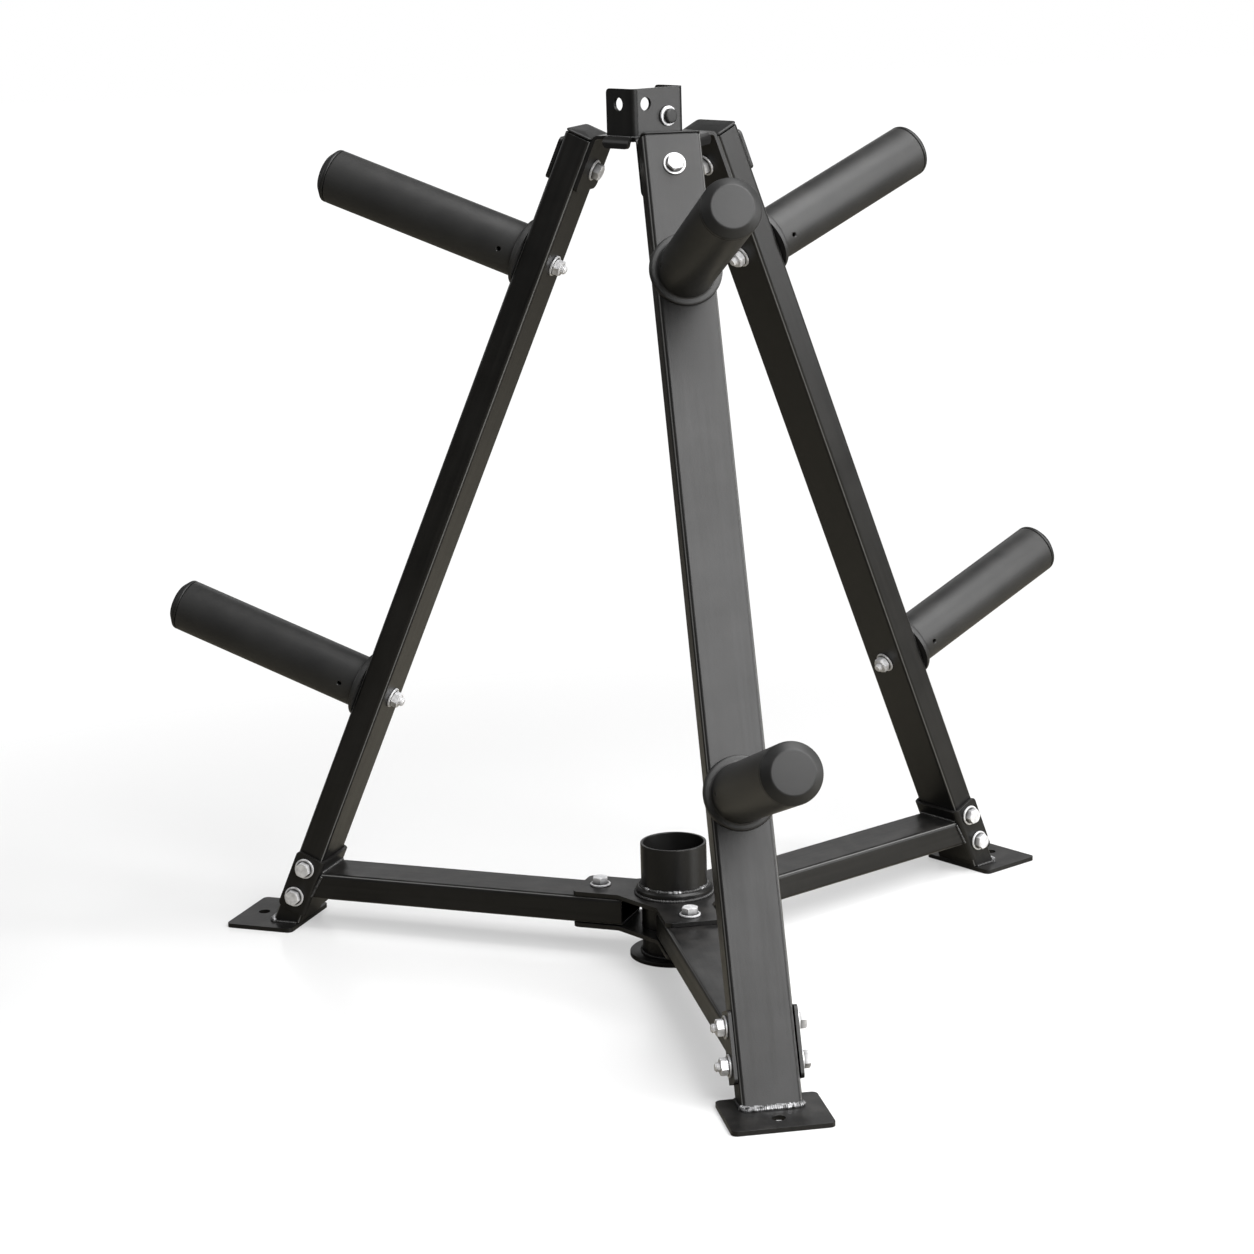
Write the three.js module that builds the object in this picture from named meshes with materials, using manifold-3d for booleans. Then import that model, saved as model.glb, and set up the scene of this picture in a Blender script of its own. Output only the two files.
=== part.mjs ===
// Plate tree: a three-legged stand with six posts for weight plates and a cup that holds a bar.
// Millimetres, +Z up. The floor is z = 0 and the origin is where the centre line of the bar cup
// meets the floor. The legs stand at even turns about that line, and the front one points along -Y.

import * as THREE from "three";
import { mergeVertices } from "three/addons/utils/BufferGeometryUtils.js";
import Module from "manifold-3d";

// Layout
const legNames = ["front", "right", "left"];
const frontLegAzimuth = THREE.MathUtils.degToRad(-90);
const legLean = THREE.MathUtils.degToRad(23.5);
const hubRadius = 47.4; // centre line to the outer face of a hub tongue, at the hub's top
const hubRise = 6; // the hub's top above the inner edges of the leg tops
const legLength = 817; // along the outer face, floor to top
const upperPostDrop = 119; // from a leg's top to the middle of its upper post, along the leg
const lowerPostShare = 0.315; // of the leg's length, from the floor to the middle of its lower post

// Rectangular tube of the legs and the braces
const tubeWidth = 50.8;
const tubeDepth = 25.4;
const tubeWall = 2;
const tubeCornerRadius = 4;

// Clearances
const seatGap = 0.3; // between pieces that rest on each other
const plugClearance = 0.4; // round a plastic plug in its tube
const drillClearance = 0.5; // round a bolt, on the radius
const threadClearance = 0.25; // round a stud in a nut, on the radius
const slideClearance = 0.08; // round the sliding pin, on the radius
const cutOverrun = 20; // how far a cutter passes the piece that it cuts

// Fasteners, all of one thread size
const boltRadius = 4;
const hexAcrossFlats = 13;
const headHeight = 6;
const nutHeight = 6.5;
const washerRadius = 9.5;
const washerThickness = 1.6;
const threadEnd = 4; // thread left showing past a nut

// Foot plates
const footPlateWidth = 84;
const footPlateThickness = 4;
const footPlateInset = 29; // from the leg's outer face towards the centre
const footPlateReach = 39; // from the leg's outer face away from the centre
const footPlateCornerRadius = 5;
const anchorHoleRadius = 5.5;
const anchorHoleInset = 20; // from the outer edge of the plate

// Plastic plugs in the leg tops
const plugLipThickness = 2.2;
const plugLipInset = 0.3;
const plugCrownHeight = 3;
const plugCrownInset = 4;
const plugDepth = 14;
const plugWall = 1.8;

// Plate posts
const postRadius = 24.5;
const postWall = 3;
const postReach = 205; // from the leg's face to the flat end of the cap
const postDroop = THREE.MathUtils.degToRad(3.5); // lower than square to the leg's face
const postFlangeRadius = 31;
const postFlangeThickness = 5;
const postFlangeChamfer = 1.2;
const postBaseThickness = 8;
const crossHoleRadius = 2.2;
const crossHoleStation = 20; // from the leg's face

// Post caps
const capRimThickness = 3;
const capChamferLength = 6;
const capFaceRadius = 17.5;
const capInsertDepth = 14;
const capInsertWall = 2;

// Folded hub plate that joins the leg tops
const sheetThickness = 3;
const foldRadius = 6; // outside of a fold
const tongueLength = 52.5;
const tongueCornerRadius = 6;
const sideFlangeInset = 2; // how much nearer the centre line a short flange is than a tongue
const sideFlangeHeight = 10;
const sideFlangeWidth = 34;
const sideFlangeCornerRadius = 5;
const hubFloorStart = 10; // where each fold's strip starts, inside the hub's floor
const hubBoltDrop = 26; // from a leg's top, along the leg
const nutPlateLength = 38;
const nutPlateThickness = 3;
const nutPlateWidth = 46;
const nutPlateCornerRadius = 4;

// Bracket on the hub
const bracketAzimuth = THREE.MathUtils.degToRad(-60); // the way the web faces
const bracketWidth = 58;
const bracketDepth = 36;
const bracketHeight = 40;
const bracketCornerRadius = 4;
const bracketOffset = 39; // centre line to the outer face of the flange over the hub's edge
const bracketHoleRadius = 5.75;
const bracketHoleDrop = 13; // from the bracket's top
const webHoleInset = 14; // from the corner of the web
const flangeHoleInset = 20; // from the web's outer face

// Lock pin in the bracket's web
const pinRadius = 4;
const pinHeadRadius = 6.5;
const pinHeadHeight = 4;
const pinRise = 15.5; // above the hub
const pinInset = 38; // from the corner of the web
const pinReach = 22; // past the web's inner face
const pinTip = 1.2;
const pinCollarRadius = 8.5;
const pinCollarThickness = 2;

// Brackets that join the braces to the legs
const shoeBottomStation = 26; // along the leg, from the floor
const shoeTopStation = 85;
const shoeSheet = 3;
const shoeFoldRadius = 5;
const shoeCornerRadius = 4;
const shoeLowerBoltRise = 15; // from the shoe's lower end, along the leg
const shoeBoltSpacing = 31;
const shoeBoltDepth = 13; // from the leg's outer face

// Braces and the star plates that clamp them
const braceBottomHeight = 30;
const braceStartRadius = 43;
const starPlateThickness = 4;
const starArmReach = 91;
const starArmCornerRadius = 6;
const starGussetReach = 46; // where an arm starts to widen towards the next one
const starBoltInset = 19; // from the end of an arm to its clamping bolt
const starBoltEnd = 2; // thread showing under the lower plate

// Bar cup
const cupRadius = 30.2;
const cupWall = 2.6;
const cupRimHeight = 107;
const cupCollarRadius = 35;
const cupCollarHeight = 7;
const cupCollarChamfer = 2;
const floorDiscRadius = 42;
const floorDiscThickness = 4;
const floorDiscChamfer = 1;

// Facets
const arcSteps = 2; // in each rounded corner
const foldSteps = 4;
const postFacets = 20;
const cupFacets = 30;
const washerFacets = 10;
const boltFacets = 8;
const hexFacets = 6;
const drillFacets = 8;
const crownFacets = 12;
const crownSteps = 2;

// Worked out from the above
const legStep = (2 * Math.PI) / legNames.length;
const tubeInnerWidth = tubeWidth - 2 * tubeWall;
const tubeInnerDepth = tubeDepth - 2 * tubeWall;
const tubeInnerCornerRadius = tubeCornerRadius - tubeWall;
const hexCornerRadius = hexAcrossFlats / 2 / Math.cos(Math.PI / hexFacets);
const drillRadius = boltRadius + drillClearance;
const threadRadius = boltRadius + threadClearance; // of a tapped hole
const legTopInnerHeight = legLength * Math.cos(legLean) - tubeDepth * Math.sin(legLean);
const hubTop = legTopInnerHeight + hubRise;
const sideFlangeRadius = hubRadius - sideFlangeInset;
// From the centre line to a leg's outer face, level with the hub's top and at the floor.
const legTopRadius = hubRadius + (tubeDepth + seatGap) / Math.cos(legLean);
const footRadius = legTopRadius + hubTop * Math.tan(legLean);
const hubBoltStation = legLength - hubBoltDrop;
const braceTopHeight = braceBottomHeight + tubeDepth;
const starTopBase = braceTopHeight + seatGap;
const starTop = starTopBase + starPlateThickness;
const starBottomBase = braceBottomHeight - seatGap - starPlateThickness;
const innerFace = -tubeDepth; // a leg's inner face, in its own frame
const postLength = postReach - capRimThickness - capChamferLength - 2 * seatGap;
const postStations = { upper: legLength - upperPostDrop, lower: legLength * lowerPostShare };
const starBoltRadius = starArmReach - starBoltInset;
const shoeBoltStations = [
  shoeBottomStation + shoeLowerBoltRise,
  shoeBottomStation + shoeLowerBoltRise + shoeBoltSpacing,
];
const headSides = { front: 1, right: -1, left: 1 }; // which side of a leg has the shoe bolts' heads

const legAzimuth = (index) => frontLegAzimuth + index * legStep;

// Finishes
const finish = (color, roughness, metalness) => () =>
  new THREE.MeshStandardMaterial({ color, roughness, metalness });
const blackPaint = finish(0x1c1c1d, 0.42, 0.15);
const postPaint = finish(0x222224, 0.55, 0.1);
const blackPlastic = finish(0x262628, 0.5, 0);
const brightZinc = finish(0xc9cbce, 0.3, 0.9);

// Solids

const library = await Module();
library.setup();

function toSolid(geometry) {
  const bare = geometry.clone();
  bare.deleteAttribute("normal");
  bare.deleteAttribute("uv");
  const merged = mergeVertices(bare);
  const corners = Array.from(merged.index.array);
  const kept = [];
  for (let i = 0; i < corners.length; i += 3) {
    const [a, b, c] = corners.slice(i, i + 3);
    if (a !== b && b !== c && c !== a) {
      kept.push(a, b, c);
    }
  }
  const mesh = new library.Mesh({
    numProp: 3,
    vertProperties: new Float32Array(merged.attributes.position.array),
    triVerts: new Uint32Array(kept),
  });
  return new library.Manifold(mesh);
}

function toGeometry(solid) {
  const mesh = solid.getMesh();
  const geometry = new THREE.BufferGeometry();
  geometry.setAttribute("position", new THREE.BufferAttribute(mesh.vertProperties, mesh.numProp));
  geometry.setIndex(new THREE.BufferAttribute(mesh.triVerts, 1));
  geometry.computeVertexNormals();
  return geometry;
}

const join = (geometries) => geometries.map(toSolid).reduce((sum, solid) => sum.add(solid));

function cut(body, cutters) {
  return toGeometry(cutters.reduce((rest, cutter) => rest.subtract(toSolid(cutter)), body));
}

// Outlines and simple forms

function roundedRectangle(width, height, radius, centreX = 0, centreY = 0) {
  const left = centreX - width / 2;
  const right = centreX + width / 2;
  const low = centreY - height / 2;
  const high = centreY + height / 2;
  const quarter = Math.PI / 2;
  const shape = new THREE.Shape();
  shape.moveTo(left + radius, low);
  shape.lineTo(right - radius, low);
  shape.absarc(right - radius, low + radius, radius, -quarter, 0);
  shape.lineTo(right, high - radius);
  shape.absarc(right - radius, high - radius, radius, 0, quarter);
  shape.lineTo(left + radius, high);
  shape.absarc(left + radius, high - radius, radius, quarter, 2 * quarter);
  shape.lineTo(left, low + radius);
  shape.absarc(left + radius, low + radius, radius, 2 * quarter, 3 * quarter);
  shape.closePath();
  return shape;
}

function extrude(shape, length, start = 0, curveSegments = arcSteps) {
  const geometry = new THREE.ExtrudeGeometry(shape, { depth: length, bevelEnabled: false, curveSegments });
  return geometry.translate(0, 0, start);
}

function lathe(profile, facets) {
  return new THREE.LatheGeometry(
    profile.map(([radius, height]) => new THREE.Vector2(radius, height)),
    facets,
  );
}

// A round or six-sided bar along X, Y or Z, between two places on that axis.
function bar(axis, radius, start, end, facets = drillFacets) {
  const geometry = new THREE.CylinderGeometry(radius, radius, Math.abs(end - start), facets);
  geometry.translate(0, (start + end) / 2, 0);
  if (axis === "x") {
    geometry.rotateZ(-Math.PI / 2);
  }
  if (axis === "z") {
    geometry.rotateX(Math.PI / 2);
  }
  return geometry;
}

// A tightened fastener as one solid, from stretches that each have a radius, two ends and facets.
function fastener(axis, stretches) {
  return toGeometry(
    join(stretches.map(([radius, start, end, facets]) => bar(axis, radius, start, end, facets))),
  );
}

// The washer on a face and the head or nut on top of it, stacked towards outward (1 or -1).
function stackOn(face, outward, height) {
  const washerMiddle = face + outward * (washerThickness / 2);
  const washerTop = face + outward * washerThickness;
  return [
    [washerRadius, face, washerTop, washerFacets],
    [hexCornerRadius, washerMiddle, washerTop + outward * height, hexFacets],
  ];
}

// How far a washer and a nut reach from the face they sit on.
const nutStack = washerThickness + nutHeight;

// Frames of reference. In a spoke's frame X points away from the centre line. In a leg's frame
// X points out of the leg's outer face, Z runs up along it and the origin is at the floor.

const spokeMatrix = (index) => new THREE.Matrix4().makeRotationZ(legAzimuth(index));

function legMatrix(index) {
  const toFoot = new THREE.Matrix4().makeTranslation(footRadius, 0, 0);
  const leaned = new THREE.Matrix4().makeRotationY(-legLean);
  return spokeMatrix(index).multiply(toFoot).multiply(leaned);
}

const spokeGroups = legNames.map((name, index) => {
  const group = new THREE.Group();
  group.rotation.z = legAzimuth(index);
  return group;
});

const legGroups = spokeGroups.map((spoke) => {
  const group = new THREE.Group();
  group.position.x = footRadius;
  group.rotation.y = -legLean;
  spoke.add(group);
  return group;
});

const plateTree = new THREE.Group();
plateTree.add(...spokeGroups);

function place(parent, name, geometry, material) {
  const mesh = new THREE.Mesh(geometry, material());
  mesh.name = name;
  parent.add(mesh);
  return mesh;
}

// The half space below a height, as seen from a leg's frame.
function belowHeight(height) {
  const size = tubeWidth + tubeDepth + cutOverrun;
  const block = new THREE.BoxGeometry(2 * size, 2 * size, size);
  block.translate(0, 0, height - size / 2);
  return block.rotateY(legLean);
}

// Legs

function legGeometry() {
  const outline = roundedRectangle(tubeDepth, tubeWidth, tubeCornerRadius, -tubeDepth / 2, 0);
  const bore = roundedRectangle(tubeInnerDepth, tubeInnerWidth, tubeInnerCornerRadius, -tubeDepth / 2, 0);
  outline.holes.push(bore);
  const tube = extrude(outline, legLength + cutOverrun, -cutOverrun);
  const through = Object.values(postStations).concat(hubBoltStation).map((station) => {
    const drill = bar("x", drillRadius, -tubeDepth - cutOverrun, cutOverrun);
    return drill.translate(0, 0, station);
  });
  const across = shoeBoltStations.map((station) => {
    const drill = bar("y", drillRadius, -tubeWidth, tubeWidth);
    return drill.translate(-shoeBoltDepth, 0, station);
  });
  return cut(toSolid(tube), [belowHeight(footPlateThickness + seatGap), ...through, ...across]);
}

function footPlateGeometry() {
  const length = footPlateInset + footPlateReach;
  const outer = footRadius + footPlateReach;
  const outline = roundedRectangle(length, footPlateWidth, footPlateCornerRadius, outer - length / 2, 0);
  const hole = bar("z", anchorHoleRadius, -cutOverrun, cutOverrun);
  hole.translate(outer - anchorHoleInset, 0, 0);
  return cut(toSolid(extrude(outline, footPlateThickness)), [hole]);
}

// A low dome with an oval foot, closed by its flat base.
function crown(length, width, height) {
  const profile = [[0, 0]];
  for (let step = 0; step <= crownSteps; step += 1) {
    const angle = (step / crownSteps) * (Math.PI / 2);
    profile.push([Math.cos(angle), Math.sin(angle)]);
  }
  const dome = lathe(profile, crownFacets);
  dome.rotateX(Math.PI / 2);
  return dome.scale(length / 2, width / 2, height);
}

function legPlugGeometry() {
  const centre = -tubeDepth / 2;
  const lipBase = legLength + seatGap;
  const lipTop = lipBase + plugLipThickness;
  const lip = extrude(
    roundedRectangle(tubeDepth - 2 * plugLipInset, tubeWidth - 2 * plugLipInset, tubeCornerRadius, centre, 0),
    plugLipThickness,
    lipBase,
  );
  const skirtWidth = tubeInnerWidth - 2 * plugClearance;
  const skirtDepth = tubeInnerDepth - 2 * plugClearance;
  const skirt = roundedRectangle(skirtDepth, skirtWidth, tubeInnerCornerRadius, centre, 0);
  const hollowWidth = skirtWidth - 2 * plugWall;
  const hollowDepth = skirtDepth - 2 * plugWall;
  skirt.holes.push(roundedRectangle(hollowDepth, hollowWidth, tubeInnerCornerRadius / 2, centre, 0));
  const skirtBody = extrude(skirt, plugDepth + plugLipThickness / 2 + seatGap, legLength - plugDepth);
  const top = crown(tubeDepth - 2 * plugCrownInset, tubeWidth - 2 * plugCrownInset, plugCrownHeight);
  top.translate(centre, 0, lipTop - plugLipThickness / 2);
  return toGeometry(join([lip, skirtBody, top]));
}

// Posts, turned about X in the leg's frame

function turnedAboutX(profile, facets = postFacets) {
  return lathe(profile, facets).rotateZ(-Math.PI / 2);
}

function postGeometry() {
  const innerRadius = postRadius - postWall;
  const profile = [
    [0, -cutOverrun],
    [postFlangeRadius, -cutOverrun],
    [postFlangeRadius, postFlangeThickness - postFlangeChamfer],
    [postFlangeRadius - postFlangeChamfer, postFlangeThickness],
    [postRadius, postFlangeThickness],
    [postRadius, postLength],
    [innerRadius, postLength],
    [innerRadius, postBaseThickness],
    [0, postBaseThickness],
  ];
  const hole = bar("y", crossHoleRadius, -postRadius - cutOverrun, postRadius + cutOverrun);
  hole.translate(crossHoleStation - seatGap, 0, 0).rotateY(postDroop);
  const bore = bar("x", threadRadius, -cutOverrun, postBaseThickness + cutOverrun);
  const blockSize = 4 * postFlangeRadius;
  const pastFace = new THREE.BoxGeometry(blockSize, blockSize, blockSize);
  pastFace.translate(-blockSize / 2, 0, 0);
  return cut(toSolid(turnedAboutX(profile).rotateY(postDroop)), [hole, bore, pastFace]);
}

function postCapGeometry() {
  const insertRadius = postRadius - postWall - plugClearance;
  const hollowRadius = insertRadius - capInsertWall;
  const profile = [
    [0, 0],
    [hollowRadius, 0],
    [hollowRadius, -capInsertDepth],
    [insertRadius, -capInsertDepth],
    [insertRadius, 0],
    [postRadius, 0],
    [postRadius, capRimThickness],
    [capFaceRadius, capRimThickness + capChamferLength],
    [0, capRimThickness + capChamferLength],
  ];
  return toGeometry(toSolid(turnedAboutX(profile)));
}

// The stud that holds a post, with its washer and nut on the leg's inner face
function postStudGeometry() {
  const face = innerFace - seatGap;
  return fastener("x", [
    [boltRadius, face - nutStack - threadEnd, postBaseThickness, boltFacets],
    ...stackOn(face, -1, nutHeight),
  ]);
}

legNames.forEach((name, index) => {
  const leg = legGroups[index];
  place(leg, `leg_${name}`, legGeometry(), blackPaint);
  place(leg, `leg_plug_${name}`, legPlugGeometry(), blackPlastic);
  place(spokeGroups[index], `foot_plate_${name}`, footPlateGeometry(), blackPaint);
  for (const [level, station] of Object.entries(postStations)) {
    const post = place(leg, `post_${level}_${name}`, postGeometry(), postPaint);
    post.position.set(seatGap, 0, station);
    const cap = place(leg, `post_cap_${level}_${name}`, postCapGeometry(), blackPlastic);
    const capStation = postLength + seatGap;
    cap.position.set(seatGap + capStation * Math.cos(postDroop), 0, station - capStation * Math.sin(postDroop));
    cap.rotation.y = postDroop;
    const stud = place(leg, `post_stud_${level}_${name}`, postStudGeometry(), brightZinc);
    stud.position.z = station;
  }
});

// Hub plate. Its floor lies flat on the centre line and one edge is folded down along each leg,
// with a short stiffening flange between each two.

// A fold in a spoke's frame: a strip of the hub's floor that turns down over an outer face at
// faceRadius, and then leans outwards by lean.
function foldedEdge(faceRadius, lean, drop, width, cornerRadius) {
  const turn = Math.PI / 2 - lean;
  const centreX = faceRadius - foldRadius * Math.tan(turn / 2);
  const centreZ = hubTop - foldRadius;
  const innerRadius = foldRadius - sheetThickness;
  const endX = faceRadius + drop * Math.sin(lean);
  const endZ = hubTop - drop * Math.cos(lean);
  const profile = new THREE.Shape();
  profile.moveTo(hubFloorStart, hubTop);
  profile.lineTo(centreX, hubTop);
  profile.absarc(centreX, centreZ, foldRadius, Math.PI / 2, lean, true);
  profile.lineTo(endX, endZ);
  profile.lineTo(endX - sheetThickness * Math.cos(lean), endZ - sheetThickness * Math.sin(lean));
  profile.absarc(centreX, centreZ, innerRadius, lean, Math.PI / 2, false);
  profile.lineTo(hubFloorStart, hubTop - sheetThickness);
  profile.closePath();
  const strip = extrude(profile, width, -width / 2, foldSteps);
  strip.rotateX(Math.PI / 2);

  // The rounded corners at the free end, cut square to the folded face.
  const maskHeight = drop + faceRadius;
  const mask = extrude(
    roundedRectangle(maskHeight, width, cornerRadius, maskHeight / 2 - drop, 0),
    2 * faceRadius,
    -faceRadius - cutOverrun,
  );
  mask.rotateY(-Math.PI / 2);
  mask.rotateY(-lean);
  mask.translate(faceRadius, 0, hubTop);
  return toSolid(strip).intersect(toSolid(mask));
}

function hubPlateSolid() {
  const halfStep = new THREE.Matrix4().makeRotationZ(legStep / 2);
  const floorReach = sideFlangeRadius - foldRadius;
  const corners = [];
  const tongueFloor = hubRadius - foldRadius * Math.tan((Math.PI / 2 - legLean) / 2);
  const cornerSpread = (floorReach - tongueFloor * Math.cos(legStep / 2)) / Math.sin(legStep / 2);
  legNames.forEach((name, index) => {
    for (const side of [-1, 1]) {
      const corner = new THREE.Vector3(tongueFloor, side * cornerSpread, 0).applyMatrix4(spokeMatrix(index));
      corners.push(new THREE.Vector2(corner.x, corner.y));
    }
  });
  let plate = toSolid(extrude(new THREE.Shape(corners), sheetThickness, hubTop - sheetThickness));
  legNames.forEach((name, index) => {
    const tongue = foldedEdge(hubRadius, legLean, tongueLength, tubeWidth, tongueCornerRadius);
    const flange = foldedEdge(sideFlangeRadius, 0, sideFlangeHeight, sideFlangeWidth, sideFlangeCornerRadius);
    plate = plate.add(tongue.transform(spokeMatrix(index).elements));
    plate = plate.add(flange.transform(spokeMatrix(index).multiply(halfStep).elements));
  });
  return plate;
}

const hubDrills = legNames.map((name, index) => {
  const drill = bar("x", drillRadius, -tubeDepth - cutOverrun, 0);
  return drill.translate(0, 0, hubBoltStation).applyMatrix4(legMatrix(index));
});
place(plateTree, "hub_plate", cut(hubPlateSolid(), hubDrills), blackPaint);

// Each leg's hub bolt screws into a tapped plate on the far side of the leg. The front leg has its
// bolt head outside and its tapped plate inside, and the other two are the other way round.
const tongueInner = innerFace - seatGap - sheetThickness;
const nutPlateBase = { outside: seatGap, inside: tongueInner - seatGap - nutPlateThickness };

function nutPlateGeometry(outside) {
  const base = outside ? nutPlateBase.outside : nutPlateBase.inside;
  const outline = roundedRectangle(nutPlateLength, nutPlateWidth, nutPlateCornerRadius, 0, 0);
  const plate = extrude(outline, nutPlateThickness, base).rotateY(Math.PI / 2);
  const drill = bar("x", threadRadius, base - cutOverrun, base + cutOverrun);
  return cut(toSolid(plate), [drill]);
}

function hubBoltGeometry(outsidePlate) {
  const outward = outsidePlate ? -1 : 1;
  const face = outsidePlate ? tongueInner - seatGap : seatGap;
  const tip = outsidePlate ? seatGap + nutPlateThickness : nutPlateBase.inside;
  return fastener("x", [
    [boltRadius, face + outward * washerThickness, tip, boltFacets],
    ...stackOn(face, outward, headHeight),
  ]);
}

legNames.forEach((name, index) => {
  const outsidePlate = name !== "front";
  const nutPlate = place(legGroups[index], `nut_plate_${name}`, nutPlateGeometry(outsidePlate), blackPaint);
  nutPlate.position.z = hubBoltStation;
  const bolt = place(legGroups[index], `hub_bolt_${name}`, hubBoltGeometry(outsidePlate), brightZinc);
  bolt.position.z = hubBoltStation;
});

// Bracket on the hub, in a frame whose X points out of its web

const bracketGroup = new THREE.Group();
bracketGroup.rotation.z = bracketAzimuth;
bracketGroup.position.z = hubTop + seatGap;
plateTree.add(bracketGroup);

const webFace = bracketDepth / 2;
const pinPlace = new THREE.Vector3(webFace, pinInset - bracketOffset, pinRise);

// A channel seen along its length: a web at webX, flanges towards -X, with rounded folds.
function channelOutline(webX, depth, low, high, sheet, outerRadius) {
  const innerRadius = outerRadius - sheet;
  const back = webX - depth;
  const quarter = Math.PI / 2;
  const shape = new THREE.Shape();
  shape.moveTo(back, low);
  shape.lineTo(webX - outerRadius, low);
  shape.absarc(webX - outerRadius, low + outerRadius, outerRadius, -quarter, 0);
  shape.lineTo(webX, high - outerRadius);
  shape.absarc(webX - outerRadius, high - outerRadius, outerRadius, 0, quarter);
  shape.lineTo(back, high);
  shape.lineTo(back, high - sheet);
  shape.lineTo(webX - outerRadius, high - sheet);
  shape.absarc(webX - outerRadius, high - outerRadius, innerRadius, quarter, 0, true);
  shape.lineTo(webX - sheet, low + outerRadius);
  shape.absarc(webX - outerRadius, low + outerRadius, innerRadius, 0, -quarter, true);
  shape.lineTo(back, low + sheet);
  shape.closePath();
  return shape;
}

// Rounds the free corners of a channel's flanges when it is cut with this block, seen along Y.
function flangeMask(webX, depth, bottom, top, radius, reach) {
  const overhang = depth + cutOverrun;
  const centreX = webX - depth + overhang / 2;
  const outline = roundedRectangle(overhang, top - bottom, radius, centreX, -(top + bottom) / 2);
  return extrude(outline, 2 * reach, -reach).rotateX(-Math.PI / 2);
}

function bracketGeometry() {
  const low = -bracketOffset;
  const outline = channelOutline(webFace, bracketDepth, low, low + bracketWidth, sheetThickness, foldRadius);
  const body = toSolid(extrude(outline, bracketHeight, 0, foldSteps));
  const radius = bracketCornerRadius;
  const mask = flangeMask(webFace, bracketDepth, -radius, bracketHeight, radius, bracketWidth);
  const holeHeight = bracketHeight - bracketHoleDrop;
  const webHole = bar("x", bracketHoleRadius, 0, webFace + cutOverrun);
  webHole.translate(0, webHoleInset - bracketOffset, holeHeight);
  const flangeHole = bar("y", bracketHoleRadius, -bracketWidth, bracketWidth);
  flangeHole.translate(webFace - flangeHoleInset, 0, holeHeight);
  const pinHole = bar("x", pinRadius + slideClearance, 0, cutOverrun, boltFacets);
  pinHole.translate(webFace - cutOverrun / 2, pinPlace.y, pinPlace.z);
  return cut(body.intersect(toSolid(mask)), [webHole, flangeHole, pinHole]);
}

place(bracketGroup, "hub_bracket", bracketGeometry(), blackPaint);

// Lock pin, drawn as pushed home. It slides out along the bracket's X.

function pinGeometry() {
  const headBase = seatGap + pinCollarThickness + seatGap;
  const tip = -sheetThickness - pinReach;
  const profile = [
    [0, tip],
    [pinRadius - pinTip, tip],
    [pinRadius, tip + pinTip],
    [pinRadius, headBase],
    [pinHeadRadius, headBase],
    [pinHeadRadius, headBase + pinHeadHeight - pinTip],
    [pinHeadRadius - pinTip, headBase + pinHeadHeight],
    [0, headBase + pinHeadHeight],
  ];
  return toGeometry(toSolid(turnedAboutX(profile, boltFacets)));
}

const pin = place(bracketGroup, "lock_pin", pinGeometry(), blackPlastic);
pin.position.copy(pinPlace);

function pinCollarGeometry() {
  const outer = bar("x", pinCollarRadius, seatGap, seatGap + pinCollarThickness, washerFacets);
  return cut(toSolid(outer), [bar("x", pinRadius + slideClearance, 0, cutOverrun, boltFacets)]);
}

const pinCollar = place(bracketGroup, "pin_collar", pinCollarGeometry(), brightZinc);
pinCollar.position.copy(pinPlace);

// Shoes: channels that wrap the foot of each leg and carry the end of a brace

const shoeInnerHalf = tubeWidth / 2 + seatGap;
const shoeOuterHalf = shoeInnerHalf + shoeSheet;
const shoeWebFace = innerFace - seatGap - shoeSheet; // the side of the web that faces the centre

function shoeGeometry() {
  const height = shoeTopStation - shoeBottomStation;
  const depth = -shoeWebFace;
  const outline = channelOutline(depth, depth, -shoeOuterHalf, shoeOuterHalf, shoeSheet, shoeFoldRadius);
  const body = toSolid(extrude(outline, height, 0, foldSteps));
  const mask = flangeMask(depth, depth, 0, height, shoeCornerRadius, tubeWidth);
  const rounded = toGeometry(body.intersect(toSolid(mask)));
  rounded.rotateZ(Math.PI).translate(0, 0, shoeBottomStation);
  const drills = shoeBoltStations.map((station) => {
    const drill = bar("y", drillRadius, -tubeWidth, tubeWidth);
    return drill.translate(-shoeBoltDepth, 0, station);
  });
  return cut(toSolid(rounded), drills);
}

function shoeBoltGeometry(headSide) {
  const face = headSide * (shoeOuterHalf + seatGap);
  return fastener("y", [
    [boltRadius, face + headSide * washerThickness, -face - headSide * (nutStack + threadEnd), boltFacets],
    ...stackOn(face, headSide, headHeight),
    ...stackOn(-face, -headSide, nutHeight),
  ]);
}

legNames.forEach((name, index) => {
  place(legGroups[index], `brace_shoe_${name}`, shoeGeometry(), blackPaint);
  shoeBoltStations.forEach((station, row) => {
    const boltName = `shoe_bolt_${row === 0 ? "lower" : "upper"}_${name}`;
    const bolt = place(legGroups[index], boltName, shoeBoltGeometry(headSides[name]), brightZinc);
    bolt.position.set(-shoeBoltDepth, 0, station);
  });
});

// Braces: tubes that lie flat, cut on the slant where they meet the shoes

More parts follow.
